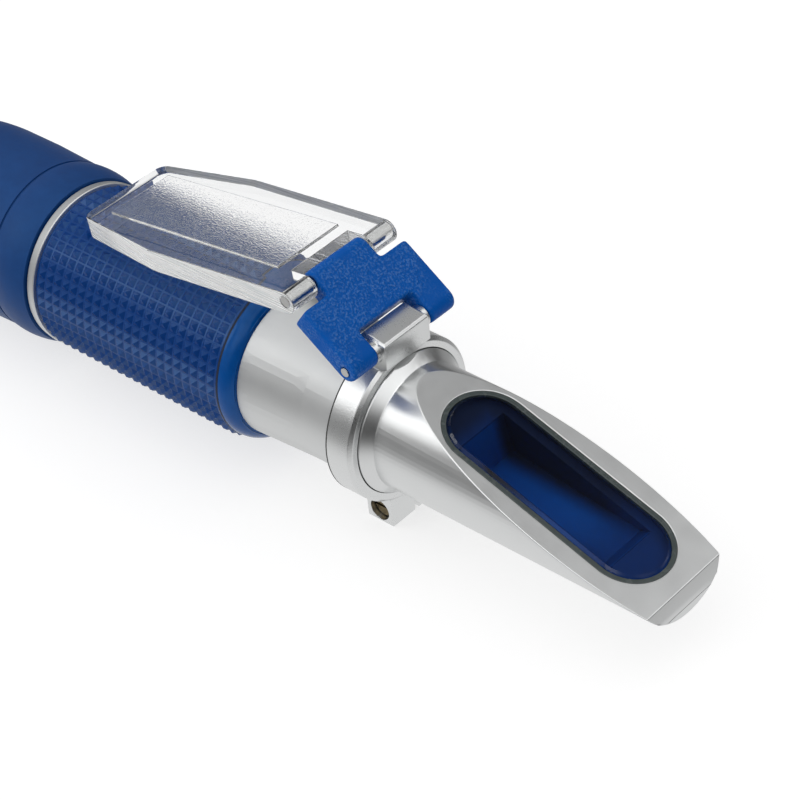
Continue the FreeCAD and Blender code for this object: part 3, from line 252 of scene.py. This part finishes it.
def gloss_blue():
    """Glossy blue plastic ring with faint handling marks."""
    material, f = new_finish("blue_gloss")
    smear = f.noise(f.coordinates((300, 900, 900)), 1.0, 3.0, 0.6)
    f.surface(
        Base_Color=f.mixed(smear, (0.0, 0.055, 0.25), (0.0, 0.073, 0.31)),
        Roughness=0.14 + smear * 0.10,
        Specular_IOR_Level=0.45,
        Specular_Tint=BLUE_SHEEN,
    )
    return material


def grip_rubber():
    """Blue rubber of the grip, slightly paler where hands have dulled it."""
    material, f = new_finish("blue_grip")
    dust = f.noise(f.coordinates(), 700, 4.0, 0.65)
    fine = f.noise(f.coordinates(), 6000, 2.0, 0.5)
    f.surface(
        Base_Color=f.mixed(dust, (0.0, 0.026, 0.160), (0.0, 0.044, 0.225)),
        Roughness=0.24 + (dust - 0.5) * 0.20,
        Specular_IOR_Level=0.62,
        Specular_Tint=BLUE_SHEEN,
        Normal=f.bump(fine, 0.25, 0.02 * MM),
    )
    return material


def eyecup_rubber():
    """Dull navy rubber with a soft bloom on it."""
    material, f = new_finish("navy_rubber")
    bloom = f.noise(f.coordinates(), 420, 4.0, 0.6)
    fine = f.noise(f.coordinates(), 5200, 2.0, 0.5)
    f.surface(
        Base_Color=f.mixed(bloom, (0.002, 0.032, 0.150), (0.006, 0.056, 0.225)),
        Roughness=0.50 + (bloom - 0.5) * 0.2,
        Specular_IOR_Level=0.42,
        Specular_Tint=BLUE_SHEEN,
        Normal=f.bump(fine, 0.2, 0.02 * MM),
    )
    return material


def clear_acrylic():
    """Polished acrylic with a trace of flow waves from the mould."""
    material, f = new_finish("clear_acrylic")
    flow = f.noise(f.coordinates((1, 1, 2.5)), 160, 2.0, 0.5)
    f.surface(
        Base_Color=(0.985, 0.992, 0.995),
        Roughness=0.015 + flow * 0.02,
        IOR=1.49,
        Transmission_Weight=1.0,
        Normal=f.bump(flow, 0.12, 0.05 * MM),
    )
    return material


def frosted_acrylic():
    """The ground face of the pad, which spreads the light."""
    material, f = new_finish("frosted_acrylic")
    grain = f.noise(f.coordinates(), 3400, 1.0, 0.5)
    f.surface(
        Base_Color=(0.99, 0.99, 0.99),
        Roughness=0.03 + grain * 0.06,
        IOR=1.49,
        Transmission_Weight=0.97,
        Normal=f.bump(grain, 1.0, 0.065 * MM),
    )
    return material


def sawn_acrylic():
    """The plate's side walls, dulled by lengthwise marks."""
    material, f = new_finish("sawn_acrylic")
    marks = f.noise(f.coordinates((50, 300, 2400), (0, -PLATE_TILT, 0)), 1.0, 3.0, 0.6)
    lines = marks.ramp(0.30, 0.52)
    f.surface(
        Base_Color=f.mixed(lines, (0.74, 0.79, 0.80), (1.0, 1.0, 0.99)),
        Roughness=0.10 + lines * 0.20,
        IOR=1.49,
        Transmission_Weight=0.42,
        Normal=f.bump(marks, 0.6, 0.25 * MM),
    )
    return material


def prism_glass():
    """Polished glass of the measuring face."""
    material, f = new_finish("optical_glass")
    haze = f.noise(f.coordinates(), 300, 2.0, 0.5)
    f.surface(
        Base_Color=(0.96, 0.98, 1.0),
        Roughness=haze * 0.02,
        IOR=1.56,
        Transmission_Weight=1.0,
    )
    return material


def prism_paint_and_shade():
    """Blue stop paint on the hidden faces of the prism, seen through the glass, with painted shade on it: nearly black
    on the far side and at the hinge end, darker blue towards the tip and under the window plate."""
    material, f = new_finish("prism_paint_and_shade")
    cloud = f.noise(f.coordinates(), 180, 2.0, 0.5)
    place = f.node("ShaderNodeTexCoord", {}, {}, "Object")
    along, across = (f.node("ShaderNodeSeparateXYZ", {}, {"Vector": place}, axis) for axis in "XY")
    # painted shade: the far side inside the prism is painted nearly black, less so towards the tip
    far_shade_fade = 1 - along.soft(42 * MM, 52 * MM) * 0.7
    far = (across - (along - 38 * MM) * 0.06).soft(1.0 * MM, 5.2 * MM) * far_shade_fade
    # painted shade: nearly black at the hinge end
    hinge_end_shade = along.soft(26 * MM, 21 * MM)
    # painted shade: darker blue towards the tip, kept off the end wall itself
    tipward_shade = along.soft(38 * MM, 50 * MM) * along.ramp(52.1 * MM, 51.7 * MM)
    near_blue = f.mixed(cloud, (0.0, 0.092, 0.460), (0.001, 0.105, 0.510))
    blue = f.mixed(tipward_shade, near_blue, (0.0, 0.050, 0.270))
    # painted shade: darker blue on the underside of the window plate
    depth = f.node("ShaderNodeVectorMath", {"operation": "DOT_PRODUCT"}, {0: place, 1: tuple(FACE_UP)}, "Value")
    ledge_shade = depth.ramp(LEDGE_HEIGHT - 0.5 * MM, LEDGE_HEIGHT - 0.1 * MM)
    lit = f.mixed(ledge_shade, blue, (0.0, 0.034, 0.190))
    f.surface(
        Base_Color=f.mixed(far.larger(hinge_end_shade), lit, (0.002, 0.012, 0.055)),
        Roughness=0.5,
        Specular_IOR_Level=0.1,
    )
    return material


def seal_rubber():
    """Grey-green sealing compound."""
    material, f = new_finish("seal_compound")
    cloud = f.noise(f.coordinates(), 500, 3.0, 0.6)
    f.surface(
        Base_Color=f.mixed(cloud, (0.040, 0.052, 0.052), (0.075, 0.092, 0.090)),
        Roughness=0.16 + cloud * 0.2,
        Normal=f.bump(cloud, 0.2, 0.05 * MM),
    )
    return material


def plain_metal(name, colour, roughness, along=(1, 1, 1)):
    """Ground or turned metal of a small part, with fine marks."""
    material, f = new_finish(name)
    marks = f.noise(f.coordinates(tuple(2600 * a for a in along)), 1.0, 3.0, 0.65)
    f.surface(
        Base_Color=f.mixed(marks, tuple(c * 0.85 for c in colour), colour),
        Metallic=1.0,
        Roughness=roughness + (marks - 0.5) * 0.18,
        Normal=f.bump(marks, 0.12, 0.02 * MM),
    )
    return material


def dark_finish(name, colour, roughness, metallic=0.0):
    """Matt dark coat of an inner part, also the colour of the painted shade bands in gaps."""
    material, f = new_finish(name)
    grain = f.noise(f.coordinates(), 3000, 3.0, 0.6)
    f.surface(
        Base_Color=f.mixed(grain, tuple(c * 0.7 for c in colour), colour),
        Metallic=metallic,
        Roughness=roughness + (grain - 0.5) * 0.2,
        Normal=f.bump(grain, 0.2, 0.02 * MM),
    )
    return material


def plain_glass(name):
    """Coated lens glass."""
    material, f = new_finish(name)
    haze = f.noise(f.coordinates(), 400, 2.0, 0.5)
    f.surface(
        Base_Color=f.mixed(haze, (0.82, 0.90, 0.95), (0.90, 0.95, 1.0)),
        Roughness=0.01 + haze * 0.02,
        IOR=1.52,
        Transmission_Weight=1.0,
    )
    return material


ALUMINIUM = (0.76, 0.77, 0.77)
finishes = {
    "barrel": satin_metal("satin_turned", ALUMINIUM, 0.49, 0.12, True),
    "housing": satin_metal("satin_blasted", ALUMINIUM, 0.31, 0.05, False),
    "collar": satin_metal("satin_pearl", ALUMINIUM, 0.29, 1.0, False, 4600),
    "moulding": moulded_blue(),
    "gloss": gloss_blue(),
    "grip": grip_rubber(),
    "eyecup": eyecup_rubber(),
    "acrylic": clear_acrylic(),
    "frost": frosted_acrylic(),
    "sawn": sawn_acrylic(),
    "glass": prism_glass(),
    "paint": prism_paint_and_shade(),
    # painted shade for the gap at the collar's rear edge
    "collar_shade": dark_finish("collar_gap_shade_dark", (0.05, 0.05, 0.05), 0.6),
    # painted shade for the groove between the grip and the blue ring
    "joint": dark_finish("grip_gap_shade_navy", (0.003, 0.012, 0.045), 0.6),
    "seal": seal_rubber(),
    "steel": plain_metal("steel", (0.60, 0.60, 0.59), 0.24, (0.2, 1, 1)),
    "brass": plain_metal("brass", (0.20, 0.155, 0.085), 0.45),
    "black_aluminium": dark_finish("black_aluminium", (0.030, 0.030, 0.034), 0.5, 0.6),
    "navy_backing": dark_finish("navy_backing", (0.010, 0.030, 0.120), 0.6),
    "black_shim": dark_finish("black_shim", (0.020, 0.020, 0.020), 0.7),
    "lens": plain_glass("lens_glass"),
}


def add_piece(name, mesh, body, materials, stands_for):
    """Puts a finished mesh into the scene with what it is made of, on the body it rides on, and hides the CAD nodes it
    stands for.
    """
    piece = bpy.data.objects.new(name, mesh)
    bpy.context.scene.collection.objects.link(piece)
    mesh.materials.clear()
    for key in materials:
        mesh.materials.append(finishes[key])
    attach(piece, body)
    if stands_for:
        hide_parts(*stands_for)
    return piece


def merged_copy(node, name, flatten=True):
    """A copy of a CAD node's mesh with its loose triangles merged, and its flat faces joined where that is wanted."""
    mesh = nodes[node].data.copy()
    mesh.name = name
    shape = bmesh.new()
    shape.from_mesh(mesh)
    bmesh.ops.remove_doubles(shape, verts=shape.verts, dist=MERGE)
    if flatten:
        bmesh.ops.dissolve_limit(shape, angle_limit=math.radians(0.5), verts=shape.verts, edges=shape.edges)
    shape.to_mesh(mesh)
    shape.free()
    return mesh


def smooth(mesh, angle):
    """Smooth shading, with edges sharper than the angle kept sharp."""
    mesh.shade_smooth()
    mesh.set_sharp_from_angle(angle=math.radians(angle))


def dressed(node, name, material, edge, segments=2, angle=SHARP):
    """A copy of a CAD node with its sharp edges broken by a small rounding."""
    mesh = merged_copy(node, name)
    smooth(mesh, angle)
    piece = add_piece(name, mesh, nodes[node]["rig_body"], [material], [node])
    if edge:
        rounding = piece.modifiers.new("edges", "BEVEL")
        rounding.width = edge * MM
        rounding.segments = segments
        rounding.limit_method = "ANGLE"
        rounding.angle_limit = math.radians(angle)
        rounding.use_clamp_overlap = False
        rounding.harden_normals = True
    return piece


def add_grid(name, points, wrap_rows, rise=None):
    """Mesh of a grid of points, rows by columns. Columns always close on themselves, rows where wrap_rows says so.
    With a rise for each point, each square is cut in two along the diagonal with the higher ends, so that the
    ridges of a pyramid stay straight."""
    rows, columns = points.shape[:2]
    index = np.arange(rows * columns).reshape(rows, columns)
    below = np.roll(index, -1, axis=0)
    right = np.roll(index, -1, axis=1)
    corner = np.roll(below, -1, axis=1)
    quads = np.stack([index, right, corner, below], axis=-1)
    if not wrap_rows:
        quads = quads[:-1]
    faces = quads.reshape(-1, 4)
    if rise is not None:
        high = rise.ravel()[faces]
        first = high[:, 0] + high[:, 2] >= high[:, 1] + high[:, 3]
        turned = np.where(first[:, None], faces, np.roll(faces, -1, axis=1))
        faces = np.concatenate([turned[:, [0, 1, 2]], turned[:, [0, 2, 3]]])
    mesh = bpy.data.meshes.new(name)
    mesh.from_pydata(points.reshape(-1, 3).tolist(), [], faces.tolist())
    mesh.update()
    return mesh


def turned_points(stations, radii, columns):
    """Points of a turned surface: at each station x, a circle round the X axis with that radius."""
    angle = np.linspace(0, 2 * np.pi, columns, endpoint=False)
    stations = np.asarray(stations, float)[:, None] * np.ones(columns)
    radii = np.asarray(radii, float)
    if radii.ndim == 1:
        radii = radii[:, None] * np.ones(columns)
    return np.stack([stations, radii * np.cos(angle), radii * np.sin(angle)], axis=-1)


STRIP_HEIGHT = 1.15 * MM  # strip along the top of the housing's end face
STRIP_LEAN = 0.45 * MM    # how far it leans back
COLLAR_RADIUS = 14.2 * MM
COLLAR_REAR = 3.8 * MM    # where the collar starts on the barrel
GRIP_FRONT = -20.25 * MM  # where the grip meets the blue ring
RING_CROWN = 14.46 * MM   # the blue ring's largest radius
GRIP_ROWS = 22            # pyramids along the grip
GRIP_COLUMNS = 48         # pyramids round it
GRIP_RELIEF = 0.62 * MM   # height of a pyramid
GRIP_RIM = 0.35 * MM      # plain edge at each end
GRIP_BORE = 12.42 * MM    # just clear of the barrel's seat
CELL_LINES = (0.0, 0.08, 0.46, 0.54, 0.92)   # grid lines in one pyramid's cell: groove, foot, top edge, top edge, foot


def cell_height(line):
    """Share of the full height along one cell: 0 in the groove, 1 on the flat top, straight in between."""
    foot, top = CELL_LINES[1], CELL_LINES[2]
    rise = np.minimum(line - foot, 1 - foot - line) / (top - foot)
    return np.clip(rise, 0, 1)


def grip_pyramids():
    """Grip sleeve. Its radius at station x and angle a is the peak radius less the relief times one minus the smaller
    of the two cell heights, so that each cell is a flat-topped pyramid between grooves. The last rows close it
    over the ends and through the bore."""
    low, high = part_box("grip_sleeve")
    peak = high.z
    bore = GRIP_BORE
    lines = np.array(CELL_LINES)
    along = (np.arange(GRIP_ROWS)[:, None] + lines).ravel()
    along = np.append(along, GRIP_ROWS)
    around = (np.arange(GRIP_COLUMNS)[:, None] + lines).ravel()
    first, last = low.x + GRIP_RIM, high.x - GRIP_RIM
    stations = first + (last - first) * along / GRIP_ROWS
    height = np.minimum(cell_height(along % 1)[:, None], cell_height(around % 1)[None, :])
    radii = peak - GRIP_RELIEF * (1 - height)
    angle = 2 * np.pi * around / GRIP_COLUMNS
    groove = np.full((1, len(around)), peak - GRIP_RELIEF)
    inner = np.full((1, len(around)), bore)
    stations = np.concatenate([[low.x, low.x + 0.1 * MM], stations, [high.x - 0.1 * MM, high.x, high.x, low.x]])
    radii = np.concatenate([groove - 0.1 * MM, groove, radii, groove, groove - 0.1 * MM, inner, inner])
    x = stations[:, None] * np.ones(len(around))
    points = np.stack([x, radii * np.cos(angle), radii * np.sin(angle)], axis=-1)
    mesh = add_grid("grip_pyramids", points, True, radii)
    return add_piece("grip_pyramids", mesh, "barrel", ["grip"], ["grip_sleeve"])


def soft_bracket():
    """Bracket with every edge rounded, as a plastic moulding has them: evened into a fine mesh, then relaxed."""
    mesh = merged_copy("hinge_bracket", "bracket_moulded", flatten=False)
    piece = add_piece("bracket_moulded", mesh, "bracket", ["moulding"], ["hinge_bracket"])
    evened = piece.modifiers.new("evened", "REMESH")
    evened.mode = "VOXEL"
    evened.voxel_size = 0.16 * MM
    evened.use_smooth_shade = True
    relaxed = piece.modifiers.new("relaxed", "SMOOTH")
    relaxed.factor = 0.5
    relaxed.iterations = 60
    return piece


def milled_housing():
    """Housing with its edges broken. The top of its end face is cut back along a plane through a level line, which
    leaves a narrow strip that leans back a little."""
    piece = dressed("prism_housing", "housing_milled", "housing", 0.15)
    shape = bmesh.new()
    shape.from_mesh(piece.data)
    end = max(point.co.x for point in shape.verts)
    top = max(point.co.z for point in shape.verts if point.co.x > end - MERGE)
    whole = [*shape.verts, *shape.edges, *shape.faces]
    cut = bmesh.ops.bisect_plane(shape, geom=whole, plane_co=(end, 0, top - STRIP_HEIGHT),
                                 plane_no=(STRIP_HEIGHT, 0, STRIP_LEAN), clear_outer=True)
    rim = [part for part in cut["geom_cut"] if isinstance(part, bmesh.types.BMEdge)]
    bmesh.ops.edgenet_fill(shape, edges=rim)
    bmesh.ops.recalc_face_normals(shape, faces=shape.faces)
    shape.to_mesh(piece.data)
    shape.free()
    smooth(piece.data, SHARP)
    return piece


def shade_band(name, start, end, radius, material):
    """Painted shade: a fine dark line round the barrel, a flat band from station start to station end, with this outer
    radius, put where a gap between parts lies in shade.
    """
    stations = [start, start, end, end]
    radii = [radius - 0.3 * MM, radius, radius, radius - 0.3 * MM]
    mesh = add_grid(name, turned_points(stations, radii, 180), True)
    mesh.shade_smooth()
    mesh.set_sharp_from_angle(angle=math.radians(30))
    return add_piece(name, mesh, "barrel", [material], [])


def clear_plate():
    """Daylight plate: polished acrylic, with the raised pad's top ground matt."""
    mesh = merged_copy("daylight_plate", "clear_plate")
    smooth(mesh, 25)
    finish_keys = ["acrylic", "frost", "sawn"]
    piece = add_piece("clear_plate", mesh, "plate", finish_keys, ["daylight_plate"])
    centres = np.array([face.center.dot(PLATE_UP) for face in mesh.polygons])
    flat = np.array([face.normal.dot(PLATE_UP) > 0.999 for face in mesh.polygons])
    wall = np.array([abs(face.normal.y) > 0.75 for face in mesh.polygons])
    outer = np.array([abs(face.center.y) > 9.0 * MM for face in mesh.polygons])
    top = centres[flat].max()
    ground = flat & (centres > top - 0.05 * MM)
    mesh.polygons.foreach_set("material_index", np.where(ground, 1, np.where(wall & outer, 2, 0)).astype(np.int32))
    rounding = piece.modifiers.new("edges", "BEVEL")
    rounding.width = 0.10 * MM
    rounding.segments = 2
    rounding.limit_method = "ANGLE"
    rounding.angle_limit = math.radians(28)
    rounding.use_clamp_overlap = False
    rounding.material = 0
    return piece


def measuring_prism():
    """Prism: its window is clear glass. Its other faces carry the stop paint, and stand a little clear of the pocket."""
    mesh = merged_copy("prism", "measuring_prism")
    window = max(point.co.dot(FACE_UP) for point in mesh.vertices)
    gap = 0.04 * MM
    shape = bmesh.new()
    shape.from_mesh(mesh)
    bmesh.ops.recalc_face_normals(shape, faces=shape.faces)
    inward = {point: point.normal.copy() for point in shape.verts if point.co.dot(FACE_UP) < window - 0.8 * MM}
    for point, normal in inward.items():
        point.co -= normal * gap
    shape.to_mesh(mesh)
    shape.free()
    piece = add_piece("measuring_prism", mesh, "barrel", ["glass", "paint"], ["prism"])
    painted = np.array([face.center.dot(FACE_UP) < window - 0.8 * MM for face in mesh.polygons])
    mesh.polygons.foreach_set("material_index", painted.astype(np.int32))
    return piece


grip_pyramids()
clear_plate()
measuring_prism()
dressed("barrel_tube", "barrel_turned", "barrel", 0.07)
milled_housing()
dressed("hinge_collar", "collar_milled", "collar", 0.12)
dressed("rear_grip_ring", "rear_ring_turned", "barrel", 0.08)
soft_bracket()
# painted shade: a dark band in the gap at the collar's rear edge
shade_band("collar_gap_shade", COLLAR_REAR, COLLAR_REAR + 0.24 * MM, COLLAR_RADIUS + 0.012 * MM, "collar_shade")
# painted shade: a dark navy band in the groove where the grip meets the blue ring
shade_band("grip_gap_shade", GRIP_FRONT, GRIP_FRONT + 0.42 * MM, RING_CROWN + 0.01 * MM, "joint")
dressed("front_grip_ring", "front_ring_gloss", "gloss", 0.45, 4)
dressed("eyecup", "eyecup_moulded", "eyecup", 0)
dressed("prism_seal", "window_seal", "seal", 0.14, 3)
dressed("bracket_pin", "bracket_pin_ground", "steel", 0.10)
dressed("plate_pin", "plate_pin_ground", "steel", 0.15)
dressed("collar_screw", "clamp_screw_turned", "brass", 0.06)

SLOT_FINISH = {
    "satin_aluminium": "barrel",
    "black_aluminium": "black_aluminium",
    "blue_moulding": "moulding",
    "blue_gloss": "gloss",
    "blue_grip": "grip",
    "navy_rubber": "eyecup",
    "clear_acrylic": "acrylic",
    "optical_glass": "lens",
    "steel": "steel",
    "brass": "brass",
    "seal_compound": "seal",
    "navy_backing": "navy_backing",
    "black_shim": "black_shim",
}


def finish_cad_nodes():
    """Every CAD node that still shows gets the finish of its slot."""
    slots = {part["node"]: part["material_slot"] for part in frame["record"]["subparts"]}
    for name, node in nodes.items():
        node.data.materials.clear()
        node.data.materials.append(finishes[SLOT_FINISH[slots[name]]])


finish_cad_nodes()


def add_floor():
    """Pale floor. The camera sees it white with the shadow kept. To metal and glass it is a bright patch under the
    object that falls off to the sides."""
    half = 3.0
    level = cad_box[0].z - 0.02 * MM
    corners = [(-half, -half, level), (half, -half, level), (half, half, level), (-half, half, level)]
    mesh = bpy.data.meshes.new("floor")
    mesh.from_pydata(corners, [], [(0, 1, 2, 3)])
    floor = bpy.data.objects.new("floor", mesh)
    bpy.context.scene.collection.objects.link(floor)
    material, f = new_finish("floor_white")
    place = f.node("ShaderNodeTexCoord", {}, {}, "Object")
    ahead, across = (f.node("ShaderNodeSeparateXYZ", {}, {"Vector": place}, axis) for axis in "XY")
    spread = (across * across).power(0.5).soft(0.030, 0.090)
    camera_side = (ahead * 0.75 - across * 0.65).soft(0.035, 0.140)
    kinds = {kind: f.node("ShaderNodeLightPath", {}, {}, "Is " + kind + " Ray")
             for kind in ("Camera", "Glossy", "Transmission")}
    patch = (0.83 - spread * 0.50) * (1 - camera_side * 0.85)
    lift = kinds["Camera"] * 0.66 + kinds["Transmission"] * (0.60 - spread * 0.2) + kinds["Glossy"] * patch
    dim = f.mixed(kinds["Glossy"], (0.45, 0.45, 0.45), (0.02, 0.02, 0.02))
    seen = kinds["Camera"].larger(kinds["Transmission"]).larger(kinds["Glossy"])
    paper = f.mixed(seen, (0.75, 0.75, 0.75), dim)
    f.surface(Base_Color=paper, Roughness=1.0, Specular_IOR_Level=0.0, Emission_Strength=1.0,
              Emission_Color=f.mixed(lift, (0, 0, 0), (1, 1, 1)))
    mesh.materials.append(material)


def add_world():
    """Soft surroundings of a light tent: a dark seam at the horizon, a grey dome and a large bright panel above the
    tip, with a dark gap in it. The camera, and what it sees straight through glass, gets white."""
    world = bpy.data.worlds.new("studio")
    world.use_nodes = True
    bpy.context.scene.world = world
    f = Finish(world.node_tree)
    way = f.node("ShaderNodeTexCoord", {}, {}, "Generated")
    ahead, across, height = (f.node("ShaderNodeSeparateXYZ", {}, {"Vector": way}, axis) for axis in "XYZ")

    def lobe(towards, start, end):
        """Rises from 0 to 1 as the direction turns from start to end degrees off the given one."""
        unit = Vector(towards).normalized()
        along = f.node("ShaderNodeVectorMath", {"operation": "DOT_PRODUCT"}, {0: way, 1: tuple(unit)}, "Value")
        return along.soft(math.cos(math.radians(start)), math.cos(math.radians(end)))

    dome = height.soft(0.0, 0.40) * 0.20 + 0.24
    far_side = across.soft(0.25, 0.60) * height.soft(0.75, 0.55) * 0.22
    panel = ahead.soft(-0.06, 0.10) * height.soft(0.35, 0.60) * 0.80
    gap = lobe((0.0, 0.575, 0.82), 10, 6)
    camera_side = lobe((0.75, -0.65, 0.0), 36, 14)
    overhead = lobe((-0.1, -0.15, 0.98), 27, 13) * 1.1
    surroundings = (dome - far_side + panel + overhead) * (1 - gap * 0.9) * (1 - camera_side * 0.85)
    camera = f.node("ShaderNodeLightPath", {}, {}, "Is Camera Ray")
    through = f.node("ShaderNodeLightPath", {}, {}, "Is Transmission Ray")
    diffuse = f.node("ShaderNodeLightPath", {}, {}, "Is Diffuse Ray")
    soft_light = lobe((-0.55, -0.35, 0.76), 125, 25) * 0.70 + 0.27
    lit = f.mixed(diffuse, surroundings, f.mixed(soft_light, (0, 0, 0), (1, 1, 1)))
    colour = f.mixed(camera.larger(through), lit, (1, 1, 1))
    back = f.node("ShaderNodeBackground", {}, {"Color": colour, "Strength": 1.0})
    end = f.tree.nodes.new("ShaderNodeOutputWorld")
    f.tree.links.new(back.socket, end.inputs["Surface"])


def add_lamp(name, place, target, size, brightness):
    """Flat soft lamp. Brightness is what a mirror would show of it, where 1 is white."""
    light = bpy.data.lights.new(name, "AREA")
    light.shape = "RECTANGLE"
    light.size, light.size_y = size
    light.energy = brightness * math.pi * size[0] * size[1]
    lamp = bpy.data.objects.new(name, light)
    bpy.context.scene.collection.objects.link(lamp)
    lamp.location = place
    lamp.rotation_euler = (Vector(target) - Vector(place)).to_track_quat("-Z", "Y").to_euler()
    return lamp


def add_camera():
    """The photo's camera: its direction, its roll about the line of sight, its place and its focal length."""
    azimuth, elevation, roll = (math.radians(a) for a in (45.41, 38.62, -6.07))
    place = Vector((228.7, -218.5, 251.9)) * MM
    back = Vector((
        math.sin(azimuth) * math.cos(elevation),
        -math.cos(azimuth) * math.cos(elevation),
        math.sin(elevation),
    ))
    level = Vector((math.cos(azimuth), math.sin(azimuth), 0))
    above = back.cross(level)
    right = math.cos(roll) * level + math.sin(roll) * above
    up = back.cross(right)
    camera = bpy.data.cameras.new("photo_camera")
    camera.sensor_width = 36
    camera.lens = 36 * 2522.15 / 800
    camera.clip_start = 0.01
    camera.clip_end = 20
    holder = bpy.data.objects.new("photo_camera", camera)
    bpy.context.scene.collection.objects.link(holder)
    holder.matrix_world = Matrix((
        (right.x, up.x, back.x, place.x),
        (right.y, up.y, back.y, place.y),
        (right.z, up.z, back.z, place.z),
        (0, 0, 0, 1),
    ))
    bpy.context.scene.camera = holder


add_floor()
add_world()
add_lamp("near_panel", (-0.47, -0.47, 0.46), (-0.005, 0, 0), (0.34, 0.42), 1.5)
add_camera()
bpy.context.scene.view_settings.view_transform = "Standard"
